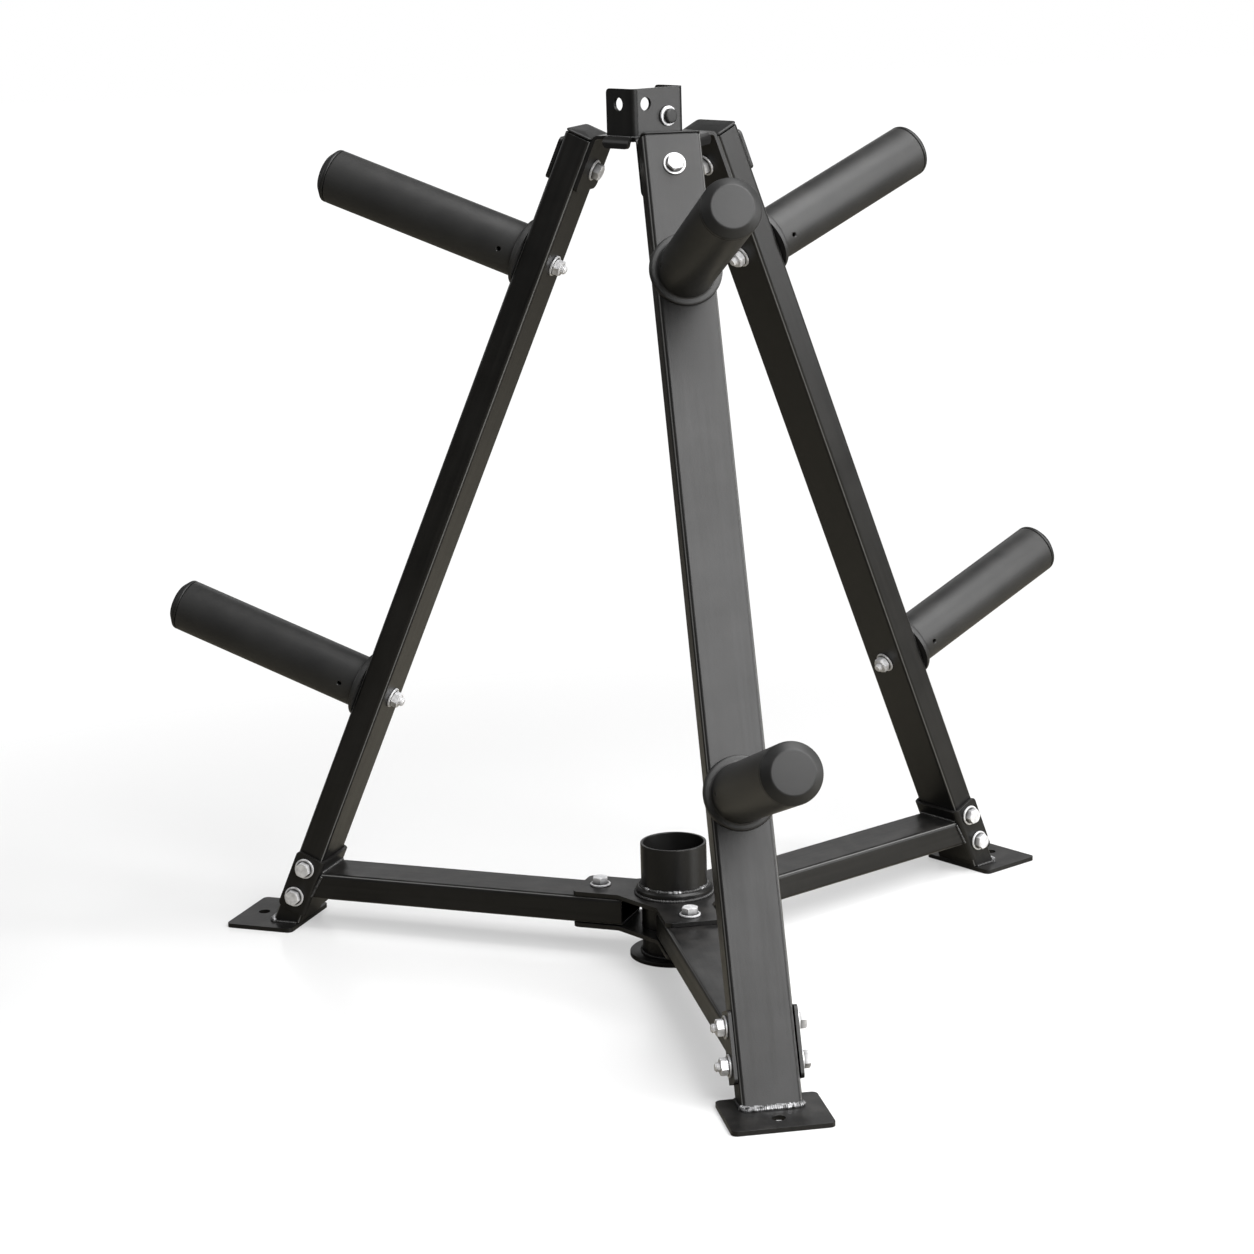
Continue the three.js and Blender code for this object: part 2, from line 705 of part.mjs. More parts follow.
function braceGeometry() {
  const outline = roundedRectangle(tubeDepth, tubeWidth, tubeCornerRadius, 0, 0);
  outline.holes.push(roundedRectangle(tubeInnerDepth, tubeInnerWidth, tubeInnerCornerRadius, 0, 0));
  const tube = extrude(outline, footRadius - braceStartRadius, braceStartRadius).rotateY(Math.PI / 2);
  tube.translate(0, 0, braceBottomHeight + tubeDepth / 2);
  const blockSize = 2 * footRadius;
  const beyondShoe = new THREE.BoxGeometry(blockSize, blockSize, blockSize);
  beyondShoe.translate(shoeWebFace - seatGap + blockSize / 2, 0, 0);
  beyondShoe.rotateY(-legLean).translate(footRadius, 0, 0);
  const drill = bar("z", drillRadius, 0, braceTopHeight + cutOverrun);
  drill.translate(starBoltRadius, 0, 0);
  return cut(toSolid(tube), [beyondShoe, drill]);
}

legNames.forEach((name, index) => place(spokeGroups[index], `brace_${name}`, braceGeometry(), blackPaint));

// Star plates: one above and one below the braces' inner ends

function starOutline() {
  const half = tubeWidth / 2;
  const quarter = Math.PI / 2;
  const roundX = starArmReach - starArmCornerRadius;
  const roundY = half - starArmCornerRadius;
  const shape = new THREE.Shape();
  legNames.forEach((name, index) => {
    const azimuth = legAzimuth(index);
    const turned = (x, y) => new THREE.Vector3(x, y, 0).applyMatrix4(spokeMatrix(index));
    const near = turned(starGussetReach, -half);
    if (index === 0) {
      shape.moveTo(near.x, near.y);
    } else {
      shape.lineTo(near.x, near.y);
    }
    const first = turned(roundX, -roundY);
    const second = turned(roundX, roundY);
    shape.absarc(first.x, first.y, starArmCornerRadius, azimuth - quarter, azimuth);
    shape.absarc(second.x, second.y, starArmCornerRadius, azimuth, azimuth + quarter);
    const far = turned(starGussetReach, half);
    shape.lineTo(far.x, far.y);
  });
  shape.closePath();
  return shape;
}

function starPlateGeometry(base, holeRadius) {
  const body = toSolid(extrude(starOutline(), starPlateThickness, base));
  const top = base + starPlateThickness + cutOverrun;
  const drills = legNames.map((name, index) => {
    const drill = bar("z", holeRadius, base - cutOverrun, top);
    return drill.translate(starBoltRadius, 0, 0).applyMatrix4(spokeMatrix(index));
  });
  return cut(body, [bar("z", cupRadius + seatGap, base - cutOverrun, top, cupFacets), ...drills]);
}

place(plateTree, "star_plate_top", starPlateGeometry(starTopBase, drillRadius), blackPaint);
place(plateTree, "star_plate_bottom", starPlateGeometry(starBottomBase, threadRadius), blackPaint);

// The bolt goes down through a brace and screws into the lower plate
function starBoltGeometry() {
  const upperFace = starTop + seatGap;
  return fastener("z", [
    [boltRadius, upperFace + washerThickness, starBottomBase - starBoltEnd, boltFacets],
    ...stackOn(upperFace, 1, headHeight),
  ]);
}

legNames.forEach((name, index) => {
  const bolt = place(spokeGroups[index], `star_bolt_${name}`, starBoltGeometry(), brightZinc);
  bolt.position.x = starBoltRadius;
});

// Bar cup: a tube through both star plates, on a disc on the floor

function standing(profile, facets = cupFacets) {
  return toGeometry(toSolid(lathe(profile, facets).rotateX(Math.PI / 2)));
}

function cupTubeGeometry() {
  const base = floorDiscThickness + seatGap;
  const innerRadius = cupRadius - cupWall;
  return standing([
    [innerRadius, base],
    [cupRadius, base],
    [cupRadius, cupRimHeight],
    [innerRadius, cupRimHeight],
    [innerRadius, base],
  ]);
}

function cupCollarGeometry() {
  const base = starTop + seatGap;
  const top = base + cupCollarHeight;
  const bore = cupRadius + seatGap;
  return standing([
    [bore, base],
    [cupCollarRadius, base],
    [cupCollarRadius, top - cupCollarChamfer],
    [cupCollarRadius - cupCollarChamfer, top],
    [bore, top],
    [bore, base],
  ]);
}

function floorDiscGeometry() {
  return standing([
    [0, 0],
    [floorDiscRadius, 0],
    [floorDiscRadius, floorDiscThickness - floorDiscChamfer],
    [floorDiscRadius - floorDiscChamfer, floorDiscThickness],
    [0, floorDiscThickness],
  ]);
}

place(plateTree, "bar_cup_tube", cupTubeGeometry(), blackPaint);
place(plateTree, "bar_cup_collar", cupCollarGeometry(), blackPaint);
place(plateTree, "floor_disc", floorDiscGeometry(), blackPaint);

export default plateTree;
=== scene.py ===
from math import copysign, cos, pi, radians, sin, tan

import bmesh
import bpy
from mathutils import Matrix, Vector


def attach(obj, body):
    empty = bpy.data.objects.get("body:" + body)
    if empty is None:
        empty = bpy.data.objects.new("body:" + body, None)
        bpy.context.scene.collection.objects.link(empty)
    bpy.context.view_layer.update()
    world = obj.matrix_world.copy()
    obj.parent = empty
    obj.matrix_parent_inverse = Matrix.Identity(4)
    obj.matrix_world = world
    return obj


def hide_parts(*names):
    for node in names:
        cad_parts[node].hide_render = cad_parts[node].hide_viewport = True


# A plate tree: three leaning legs, six posts for weight plates, a bar cup on flat braces and a
# folded hub with a bracket and a lock pin. Metres, Z up, floor at z = 0, front leg along -Y.

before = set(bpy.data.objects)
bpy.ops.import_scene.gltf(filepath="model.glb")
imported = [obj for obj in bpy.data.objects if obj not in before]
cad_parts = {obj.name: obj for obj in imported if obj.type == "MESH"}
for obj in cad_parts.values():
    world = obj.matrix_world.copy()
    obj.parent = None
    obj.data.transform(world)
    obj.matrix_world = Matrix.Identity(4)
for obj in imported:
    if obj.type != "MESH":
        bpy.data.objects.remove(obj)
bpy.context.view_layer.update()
pieces = []

stand = {
    "legs": ["front", "right", "left"],
    "firstAzimuth": radians(-90), "lean": radians(23.5),
    "legLength": 0.817, "hubRadius": 0.0474, "hubRise": 0.006,
    "tubeWidth": 0.0508, "tubeDepth": 0.0254, "tubeWall": 0.002, "tubeCorner": 0.004,
    "sheet": 0.003, "seatGap": 0.0003,
}
quarter = pi / 2
legs = list(enumerate(stand["legs"]))
legStep = 2 * pi / len(legs)
lean = stand["lean"]
gap = stand["seatGap"]
hubTop = stand["legLength"] * cos(lean) - stand["tubeDepth"] * sin(lean) + stand["hubRise"]
footRadius = stand["hubRadius"] + (stand["tubeDepth"] + gap) / cos(lean) + hubTop * tan(lean)
innerFace = -stand["tubeDepth"]
tongueFace = innerFace - gap - stand["sheet"]
halfTube = stand["tubeWidth"] / 2


def shift(x, y, z):
    return Matrix.Translation((x, y, z))


def azimuthOf(index):
    return stand["firstAzimuth"] + index * legStep


# X points away from the centre line.
def spokeMatrix(index):
    return Matrix.Rotation(azimuthOf(index), 4, "Z")


# X points out of a leg's outer face and Z runs up along it, from the floor.
def legMatrix(index):
    return spokeMatrix(index) @ shift(footRadius, 0, 0) @ Matrix.Rotation(-lean, 4, "Y")


zAlongX = Matrix.Rotation(quarter, 4, "Y")


# Meshes

def addObject(name, data):
    item = bpy.data.objects.new(name, data)
    bpy.context.scene.collection.objects.link(item)
    return item


# The plain mesh that an object's modifiers make. The object and its tools are then removed.
def applied(holder, tools=()):
    depsgraph = bpy.context.evaluated_depsgraph_get()
    mesh = bpy.data.meshes.new_from_object(holder.evaluated_get(depsgraph))
    mesh.name = holder.data.name
    for item in (holder, *tools):
        bpy.data.objects.remove(item)
    return mesh


# Keeps each point's place before the piece is set down, for grain that runs along it.
def meshFrom(bm, name, matrix=None, smoothAngle=35):
    bmesh.ops.remove_doubles(bm, verts=bm.verts, dist=1e-6)
    bmesh.ops.recalc_face_normals(bm, faces=bm.faces)
    if matrix is not None:
        along = bm.verts.layers.float_vector.get("along") or bm.verts.layers.float_vector.new("along")
        for vert in bm.verts:
            vert[along] = vert.co
        bmesh.ops.transform(bm, matrix=matrix, verts=bm.verts)
    limit = radians(smoothAngle)
    for face in bm.faces:
        face.smooth = True
    for edge in bm.edges:
        edge.smooth = len(edge.link_faces) != 2 or edge.calc_face_angle(0) < limit
    mesh = bpy.data.meshes.new(name)
    bm.to_mesh(mesh)
    bm.free()
    return mesh


# Rounds the sharp edges of a mesh and gives it even normals on its flats.
def softenEdges(mesh, width, angle=40):
    holder = addObject("softening", mesh)
    bevel = holder.modifiers.new("edges", "BEVEL")
    bevel.width = width
    bevel.segments = 2
    bevel.limit_method = "ANGLE"
    bevel.angle_limit = radians(angle)
    holder.modifiers.new("normals", "WEIGHTED_NORMAL").keep_sharp = True
    return applied(holder)


# DIFFERENCE cuts the form out of the mesh, and INTERSECT keeps what both share.
def combined(mesh, form, operation):
    holder, tool = addObject("combining", mesh), addObject("form", form)
    boolean = holder.modifiers.new("form", "BOOLEAN")
    boolean.object = tool
    boolean.operation = operation
    boolean.solver = "EXACT"
    return applied(holder, [tool])


cornerSteps = 8


def arcPoints(centreX, centreY, radius, start, end, steps=cornerSteps):
    angles = [start + (end - start) * step / steps for step in range(steps + 1)]
    return [(centreX + radius * cos(angle), centreY + radius * sin(angle)) for angle in angles]


def roundedRectangle(width, height, radius, centreX=0):
    points = []
    for turn, (sideX, sideY) in enumerate([(1, 1), (-1, 1), (-1, -1), (1, -1)]):
        x, y, start = centreX + sideX * (width / 2 - radius), sideY * (height / 2 - radius), turn * quarter
        points += arcPoints(x, y, radius, start, start + quarter)
    return points


def circlePoints(centreX, centreY, radius, steps=40):
    return arcPoints(centreX, centreY, radius, 0, 2 * pi * (steps - 1) / steps, steps - 1)


def holeOnSpoke(index, out, radius):
    place = spokeMatrix(index) @ Vector((out, 0, 0))
    return circlePoints(place.x, place.y, radius, 32)


# The part of a sheet's outline round one tab, which points out at an azimuth
def tabPoints(azimuth, start, end, half, corner):
    points = [(start, -half)]
    points += arcPoints(end - corner, corner - half, corner, -quarter, 0)
    points += arcPoints(end - corner, half - corner, corner, 0, quarter)
    turn = Matrix.Rotation(azimuth, 4, "Z")
    return [tuple((turn @ Vector((x, y, 0))).xy) for x, y in points + [(start, half)]]


def skinRings(bm, rings):
    for first, second in zip(rings, rings[1:]):
        for i in range(len(first)):
            j = (i + 1) % len(first)
            bm.faces.new((first[i], first[j], second[j], second[i]))


# A tube wall between two closed outlines, whose ends may be slanted. The point attribute made
# here is 1 along the middle of each rounded corner, where the frame paint is lightened as a painted
# highlight.
def tubeWall(outer, inner, lowAt, highAt):
    bm = bmesh.new()
    ridge = bm.verts.layers.float.new("ridge")
    walls = ((outer, lowAt), (outer, highAt), (inner, highAt), (inner, lowAt))
    rings = [[bm.verts.new((x, y, heightAt(x, y))) for x, y in outline] for outline, heightAt in walls]
    side = len(outer) // 4
    for ring in rings[:2]:
        for vert in ring[side // 2::side]:
            vert[ridge] = 1.0
    skinRings(bm, rings + rings[:1])
    return bm


# A solid turned about Z from (radius, height) points. A profile that starts and ends off the axis
# is closed on itself.
def turned(profile, segments=96):
    bm = bmesh.new()
    angles = [2 * pi * i / segments for i in range(segments)]
    rings = []
    for radius, height in profile:
        ring = [(radius * cos(a), radius * sin(a)) for a in angles] if radius > 0 else [(0, 0)]
        rings.append([bm.verts.new((x, y, height)) for x, y in ring])
    if profile[0][0] > 0:
        rings.append(rings[0])
    for first, second in zip(rings, rings[1:]):
        for i in range(segments):
            j = (i + 1) % segments
            corners = [first[i % len(first)], first[j % len(first)],
                       second[j % len(second)], second[i % len(second)]]
            kept = [v for k, v in enumerate(corners) if v not in corners[:k]]
            if len(kept) > 2:
                bm.faces.new(kept)
    return bm


# Replaces the inner corners of a profile by small arcs, which take less than half of a side.
def filleted(profile, radius, steps=3, skip=()):
    most = 0.45
    result = []
    for i, point in enumerate(profile):
        if i in (0, len(profile) - 1) or i in skip:
            result.append(point)
            continue
        here = Vector(point)
        back = Vector(profile[i - 1]) - here
        ahead = Vector(profile[i + 1]) - here
        reach = min(radius, back.length * most, ahead.length * most)
        start = here + back.normalized() * reach
        end = here + ahead.normalized() * reach
        for step in range(steps + 1):
            t = step / steps
            result.append(tuple(start * (1 - t) ** 2 + here * 2 * t * (1 - t) + end * t ** 2))
    return result


# A flat plate with holes, from z = 0 to its thickness.
def flatPlate(outline, holes, thickness):
    bm = bmesh.new()
    edges = []
    for loop in [outline, *holes]:
        verts = [bm.verts.new((x, y, 0)) for x, y in loop]
        edges += [bm.edges.new(pair) for pair in zip(verts, verts[1:] + verts[:1])]
    bmesh.ops.triangle_fill(bm, use_beauty=True, use_dissolve=False, edges=edges)
    top = bmesh.ops.extrude_face_region(bm, geom=list(bm.faces))
    moved = [item for item in top["geom"] if isinstance(item, bmesh.types.BMVert)]
    bmesh.ops.translate(bm, verts=moved, vec=(0, 0, thickness))
    bmesh.ops.recalc_face_normals(bm, faces=bm.faces)
    return bm


def slicePlate(bm, cuts, normal):
    for cut in cuts:
        geometry = [*bm.verts, *bm.edges, *bm.faces]
        bmesh.ops.bisect_plane(bm, geom=geometry, plane_co=Vector(normal) * cut, plane_no=normal, dist=1e-7)


# Where a point of a sheet goes once it is bent. The sheet lies in z from 0 to its thickness, is
# bent about Y towards -z, and radius is that of the bend's inner face.
def bentPoint(x, z, bendStart, angle, radius, thickness):
    if x <= bendStart:
        return x, z
    outer = radius + thickness
    reach = outer - (thickness - z)
    turn = min((x - bendStart) / outer, angle)
    beyond = max(x - bendStart - angle * outer, 0)
    pointX = bendStart + reach * sin(turn)
    pointZ = thickness - outer + reach * cos(turn)
    return pointX + beyond * cos(turn), pointZ - beyond * sin(turn)


# Node trees. An input takes a plain value or another node's output.

def feed(tree, node, inputs):
    for label, value in inputs.items():
        if isinstance(value, bpy.types.NodeSocket):
            tree.links.new(value, node.inputs[label])
        else:
            node.inputs[label].default_value = value


# Adds a node and returns its outputs.
def addNode(tree, kind, inputs, **settings):
    node = tree.nodes.new(kind)
    for label, value in settings.items():
        setattr(node, label, value)
    feed(tree, node, inputs)
    return node.outputs


def addMath(tree, operation, *values):
    return addNode(tree, "ShaderNodeMath", dict(enumerate(values)), operation=operation)[0]


def addRange(tree, value, fromMin, fromMax, toMin=0.0, toMax=1.0, **settings):
    inputs = {"Value": value, "From Min": fromMin, "From Max": fromMax, "To Min": toMin, "To Max": toMax}
    return addNode(tree, "ShaderNodeMapRange", inputs, **settings)[0]


def addNoise(tree, vector, scale, detail, roughness=0.5):
    inputs = {"Vector": vector, "Scale": scale, "Detail": detail, "Roughness": roughness}
    return addNode(tree, "ShaderNodeTexNoise", inputs)["Fac"]


# Two colours, and where the mask is 1 the second shows.
def mixColors(tree, mask, under, over):
    return addNode(tree, "ShaderNodeMix", {0: mask, 6: under, 7: over}, data_type="RGBA")[2]


# Its inputs and outputs are names with kinds of socket. Every user of the group sets all inputs.
def newGroup(name, kind, inputs, outputs):
    tree = bpy.data.node_groups.new(name, kind)
    for side, sockets in (("INPUT", inputs), ("OUTPUT", outputs)):
        for label, socket in sockets.items():
            tree.interface.new_socket(label, in_out=side, socket_type="NodeSocket" + socket)
    return tree, tree.nodes.new("NodeGroupInput").outputs, tree.nodes.new("NodeGroupOutput")


# Fine orange peel and a slow cloudiness, as sprayed and baked powder has, and drawn-out streaks.
def makeCoatGrain():
    tree, given, result = newGroup("coatGrain", "ShaderNodeTree", {
        "Vector": "Vector", "Grain Size": "Float", "Cloud Size": "Float", "Roughness": "Float",
        "Spread": "Float", "Streaks": "Float",
    }, {"Tone": "Float", "Roughness": "Float", "Height": "Float"})
    peel = addNoise(tree, given["Vector"], given["Grain Size"], detail=2.0, roughness=0.55)
    clouds = addNoise(tree, given["Vector"], given["Cloud Size"], detail=4.0, roughness=0.6)
    along = addNode(tree, "ShaderNodeAttribute", {}, attribute_name="along")["Vector"]
    drawnOut = addNode(tree, "ShaderNodeMapping", {"Vector": along, "Scale": (1.0, 1.0, 0.035)})[0]
    streaks = addNoise(tree, drawnOut, scale=260.0, detail=3.0)
    tone = addNode(tree, "ShaderNodeMix", {0: given["Streaks"], 2: clouds, 3: streaks},
                   data_type="FLOAT")[0]
    centred = addMath(tree, "SUBTRACT", tone, 0.5)
    roughness = addMath(tree, "MULTIPLY_ADD", centred, given["Spread"], given["Roughness"])
    feed(tree, result, {"Tone": tone, "Roughness": roughness, "Height": peel})
    return tree


# Dust that settles in patches on what faces up, and thins out on the walls.
def makeSettledDust():
    tree, given, result = newGroup("settledDust", "ShaderNodeTree",
                                   {"Vector": "Vector", "Amount": "Float"}, {"Mask": "Float"})
    normal = addNode(tree, "ShaderNodeNewGeometry", {})["Normal"]
    height = addNode(tree, "ShaderNodeSeparateXYZ", {0: normal})["Z"]
    upwards = addRange(tree, height, fromMin=0.2, fromMax=1.0)
    speckle = addNoise(tree, given["Vector"], scale=55.0, detail=6.0)
    patches = addRange(tree, speckle, fromMin=0.42, fromMax=0.72)
    mask = addMath(tree, "MULTIPLY", addMath(tree, "MULTIPLY", upwards, patches), given["Amount"])
    feed(tree, result, {"Mask": mask})
    return tree


coatGrain = makeCoatGrain()
settledDust = makeSettledDust()

# What the finishes share, and then each finish with the record's slot that it stands for.
# Two keys are colours used where the attribute of that name is 1: painted shade at hex feet and a painted
# highlight on tube corners.
plainFinish = {
    "toneFrom": 0.36, "toneTo": 0.66, "bumpDepth": 0.0002, "metallic": 0.0, "streaks": 0.0,
}
finishes = {
    "framePaint": {
        "slot": "frame_paint", "dark": (0.0042, 0.0041, 0.0041), "light": (0.0095, 0.0092, 0.0088),
        # the next line's last colour is a painted highlight along the tubes' rounded corners
        "dust": (0.07, 0.066, 0.062), "dustAmount": 0.2, "ridge": (0.13, 0.13, 0.128),
        "grain": 1100, "clouds": 18, "roughness": 0.34, "spread": 0.28, "specular": 0.28,
        "bump": 0.24, "streaks": 0.45,
    },
    "postPaint": {
        "slot": "post_paint", "dark": (0.012, 0.012, 0.012), "light": (0.02, 0.0198, 0.0195),
        "dust": (0.09, 0.087, 0.083), "dustAmount": 0.1, "grain": 1500, "clouds": 16,
        "roughness": 0.46, "spread": 0.08, "specular": 0.36, "bump": 0.18, "streaks": 0.25,
    },
    "blackPlastic": {
        "slot": "black_plastic", "dark": (0.008, 0.008, 0.008), "light": (0.014, 0.014, 0.0138),
        "dust": (0.09, 0.09, 0.088), "dustAmount": 0.09, "grain": 2200, "clouds": 20,
        "roughness": 0.46, "spread": 0.08, "specular": 0.3, "bump": 0.12,
    },
    "brightZinc": {
        "slot": "bright_zinc", "dark": (0.46, 0.46, 0.47), "light": (0.7, 0.7, 0.71),
        # the next line's last colour is painted shade where a hex meets its washer
        "dust": (0.3, 0.29, 0.27), "dustAmount": 0.05, "crevice": (0.05, 0.05, 0.05),
        "grain": 700, "clouds": 220, "roughness": 0.38, "spread": 0.24, "specular": 0.5,
        "bump": 0.2, "metallic": 0.2,
    },
    "weldMetal": {
        "slot": "bright_zinc", "dark": (0.03, 0.03, 0.03), "light": (0.5, 0.5, 0.51),
        "dust": (0.2, 0.2, 0.2), "dustAmount": 0.0, "grain": 1100, "clouds": 230,
        "roughness": 0.38, "spread": 0.3, "specular": 0.4, "bump": 0.5, "metallic": 0.7,
    },
    "paintedWeld": {
        "slot": "frame_paint", "dark": (0.012, 0.012, 0.0125), "light": (0.028, 0.0275, 0.027),
        "dust": (0.12, 0.115, 0.11), "dustAmount": 0.12, "grain": 1200, "clouds": 90,
        "roughness": 0.34, "spread": 0.14, "specular": 0.5, "bump": 0.3,
    },
}


def makeMaterial(name):
    values = {**plainFinish, **finishes[name]}
    material = bpy.data.materials.new(name)
    material.use_nodes = True
    tree = material.node_tree
    place = addNode(tree, "ShaderNodeTexCoord", {})["Object"]
    grain = addNode(tree, "ShaderNodeGroup", {
        "Vector": place, "Grain Size": values["grain"], "Cloud Size": values["clouds"],
        "Roughness": values["roughness"], "Spread": values["spread"], "Streaks": values["streaks"],
    }, node_tree=coatGrain)
    dusted = addNode(tree, "ShaderNodeGroup", {"Vector": place, "Amount": values["dustAmount"]},
                     node_tree=settledDust)["Mask"]
    ramp = tree.nodes.new("ShaderNodeValToRGB")
    feed(tree, ramp, {"Fac": grain["Tone"]})
    for i, (position, label) in enumerate([("toneFrom", "dark"), ("toneTo", "light")]):
        ramp.color_ramp.elements[i].position = values[position]
        ramp.color_ramp.elements[i].color = (*values[label], 1)
    color = ramp.outputs["Color"]
    # Painted shade and painted highlight, mixed in where their attributes are 1
    for label in ("crevice", "ridge"):
        if label in values:
            mask = addNode(tree, "ShaderNodeAttribute", {}, attribute_name=label)["Fac"]
            color = mixColors(tree, mask, color, (*values[label], 1))
    color = mixColors(tree, dusted, color, (*values["dust"], 1))
    bump = addNode(tree, "ShaderNodeBump", {
        "Height": grain["Height"], "Strength": values["bump"], "Distance": values["bumpDepth"],
    })
    feed(tree, tree.nodes["Principled BSDF"], {
        "Base Color": color, "Roughness": grain["Roughness"], "Normal": bump[0],
        "Metallic": values["metallic"], "Specular IOR Level": values["specular"],
    })
    return material


materials = {name: makeMaterial(name) for name in finishes}
print("materials made")


def newPiece(name, mesh, finish, replaced=(), body="stand"):
    piece = addObject(name, mesh)
    mesh.materials.clear()
    mesh.materials.append(materials[finish])
    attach(piece, body)
    if replaced:
        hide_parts(*replaced)
    pieces.append(piece)


# A painted tube or sheet in place of one CAD node. A folded one keeps its bends smooth.
def sheetPiece(name, bm, matrix, edge, replaced, folded=False):
    smoothAngle, edgeAngle = (30, 50) if folded else (35, 40)
    mesh = softenEdges(meshFrom(bm, name, matrix, smoothAngle), edge, edgeAngle)
    newPiece(name, mesh, "framePaint", [replaced])


def turnedPiece(name, profile, segments, finish, replaced, matrix=None, body="stand"):
    mesh = meshFrom(turned(profile, segments), name, matrix, 25)
    newPiece(name, mesh, finish, [replaced], body)


# Legs, foot plates and the plugs in the leg tops

legLook = {"edge": 0.0003, "leastCorner": 0.0008}
plugLook = {
    # inset from the tube's outline and height above the leg's top
    "steps": [(0.0022, 0.0), (0.0021, 0.001), (0.0004, 0.0012), (0.0001, 0.0016), (0.0001, 0.0023),
              (0.0005, 0.0028), (0.0013, 0.0031), (0.003, 0.0033), (0.005, 0.0035), (0.0072, 0.0038),
              (0.0096, 0.004), (0.012, 0.0041)],
}
footPlate = {
    "inset": 0.029, "reach": 0.039, "width": 0.084, "thickness": 0.004, "corner": 0.005,
    "holeRadius": 0.0055, "holeInset": 0.02, "edge": 0.0006,
}


def tubeSection(inset, centreX=0):
    corner = max(stand["tubeCorner"] - inset, legLook["leastCorner"])
    return roundedRectangle(stand["tubeDepth"] - 2 * inset, stand["tubeWidth"] - 2 * inset, corner, centreX)


def makeLeg(index, name):
    floorGap = footPlate["thickness"] + gap
    bm = tubeWall(
        tubeSection(0, innerFace / 2), tubeSection(stand["tubeWall"], innerFace / 2),
        lambda x, y: (floorGap - x * sin(lean)) / cos(lean),
        lambda x, y: stand["legLength"],
    )
    sheetPiece("leg_tube_" + name, bm, legMatrix(index), legLook["edge"], "leg_" + name)


def makePlug(index, name):
    bm = bmesh.new()
    base = stand["legLength"] + gap
    rings = [[bm.verts.new((x, y, base + height)) for x, y in tubeSection(inset, innerFace / 2)]
             for inset, height in plugLook["steps"]]
    skinRings(bm, rings)
    bm.faces.new(rings[-1])
    bm.faces.new(list(reversed(rings[0])))
    mesh = meshFrom(bm, "plug_" + name, legMatrix(index))
    newPiece("plug_" + name, mesh, "blackPlastic", ["leg_plug_" + name])


def makeFootPlate(index, name):
    length = footPlate["inset"] + footPlate["reach"]
    outer = footRadius + footPlate["reach"]
    outline = roundedRectangle(length, footPlate["width"], footPlate["corner"], outer - length / 2)
    hole = circlePoints(outer - footPlate["holeInset"], 0, footPlate["holeRadius"])
    bm = flatPlate(outline, [hole], footPlate["thickness"])
    sheetPiece("foot_sheet_" + name, bm, spokeMatrix(index), footPlate["edge"], "foot_plate_" + name)


for index, name in legs:
    makeLeg(index, name)
    makePlug(index, name)
    makeFootPlate(index, name)
print("legs made")


# Posts and their caps, turned about their own axis

post = {
    "stations": {"upper": 0.698, "lower": 0.25736},
    "radius": 0.0245, "wall": 0.003, "reach": 0.205, "droop": radians(3.5),
    "flangeRadius": 0.031, "flangeThickness": 0.005, "flangeRound": 0.0024,
    "baseThickness": 0.008, "boreRadius": 0.00425,
    "crossHoleRadius": 0.0022, "crossHoleStation": 0.02,
}
cap = {
    "rim": 0.003, "chamfer": 0.006, "faceRadius": 0.0175, "insert": 0.014, "insertWall": 0.002,
    "insertFloor": 0.001, "clearance": 0.0004, "round": 0.0012,
}
postLength = post["reach"] - cap["rim"] - cap["chamfer"] - 2 * gap
postInside = post["radius"] - post["wall"]


# Z runs out along a post, which points a little lower than square to the leg's face.
def postMatrix(index, level, start):
    seat = shift(gap, 0, post["stations"][level]) @ Matrix.Rotation(quarter + post["droop"], 4, "Y")
    return legMatrix(index) @ seat @ shift(0, 0, start - gap)


# The flange starts beyond the leg's face and is cut flat where it meets it.
def makePost(index, name, level):
    label = "post_tube_" + level + "_" + name
    radius, flangeRadius, bore = post["radius"], post["flangeRadius"], post["boreRadius"]
    flange, base = post["flangeThickness"], post["baseThickness"]
    low = -2 * flange
    hole = post["crossHoleStation"] - gap
    margin = 2 * post["crossHoleRadius"]
    bm = turned(filleted([
        (bore, low), (flangeRadius, low), (flangeRadius, flange), (radius, flange),
        (radius, hole - margin), (radius, hole + margin), (radius, postLength), (postInside, postLength),
        (postInside, base), (bore, base),
    ], post["flangeRound"], steps=4))
    whole = [*bm.verts, *bm.edges, *bm.faces]
    face = Vector((sin(post["droop"]), 0, -cos(post["droop"])))
    cut = bmesh.ops.bisect_plane(bm, geom=whole, plane_co=(0, 0, 0), plane_no=face, clear_outer=True)
    rims = [item for item in cut["geom_cut"] if isinstance(item, bmesh.types.BMEdge)]
    bmesh.ops.bridge_loops(bm, edges=rims)
    body = meshFrom(bm, label, None, 25)
    drill, reach = post["crossHoleRadius"], 2 * radius
    bit = turned([(0, -reach), (drill, -reach), (drill, reach), (0, reach)], 24)
    across = shift(0, 0, hole) @ Matrix.Rotation(quarter, 4, "X")
    mesh = combined(body, meshFrom(bit, "drill", across), "DIFFERENCE")
    mesh.transform(postMatrix(index, level, gap))
    newPiece(label, mesh, "postPaint", ["post_" + level + "_" + name])


def makeCap(index, name, level):
    radius, rim, floor, low = post["radius"], cap["rim"], cap["insertFloor"], -cap["insert"]
    insert = postInside - cap["clearance"]
    hollow = insert - cap["insertWall"]
    top = rim + cap["chamfer"]
    profile = filleted([
        (0, floor), (hollow, floor), (hollow, low), (insert, low), (insert, 0), (radius, 0), (radius, rim),
        (cap["faceRadius"], top), (0, top),
    ], cap["round"], steps=4, skip=(1, 2, 3, 4))
    turnedPiece("end_cap_" + level + "_" + name, profile, 96, "blackPlastic",
                "post_cap_" + level + "_" + name, postMatrix(index, level, 2 * gap + postLength))


for index, name in legs:
    for level in post["stations"]:
        makePost(index, name, level)
        makeCap(index, name, level)
print("posts made")


# The hub is one sheet with a tongue folded down each leg and a short flange between each two.

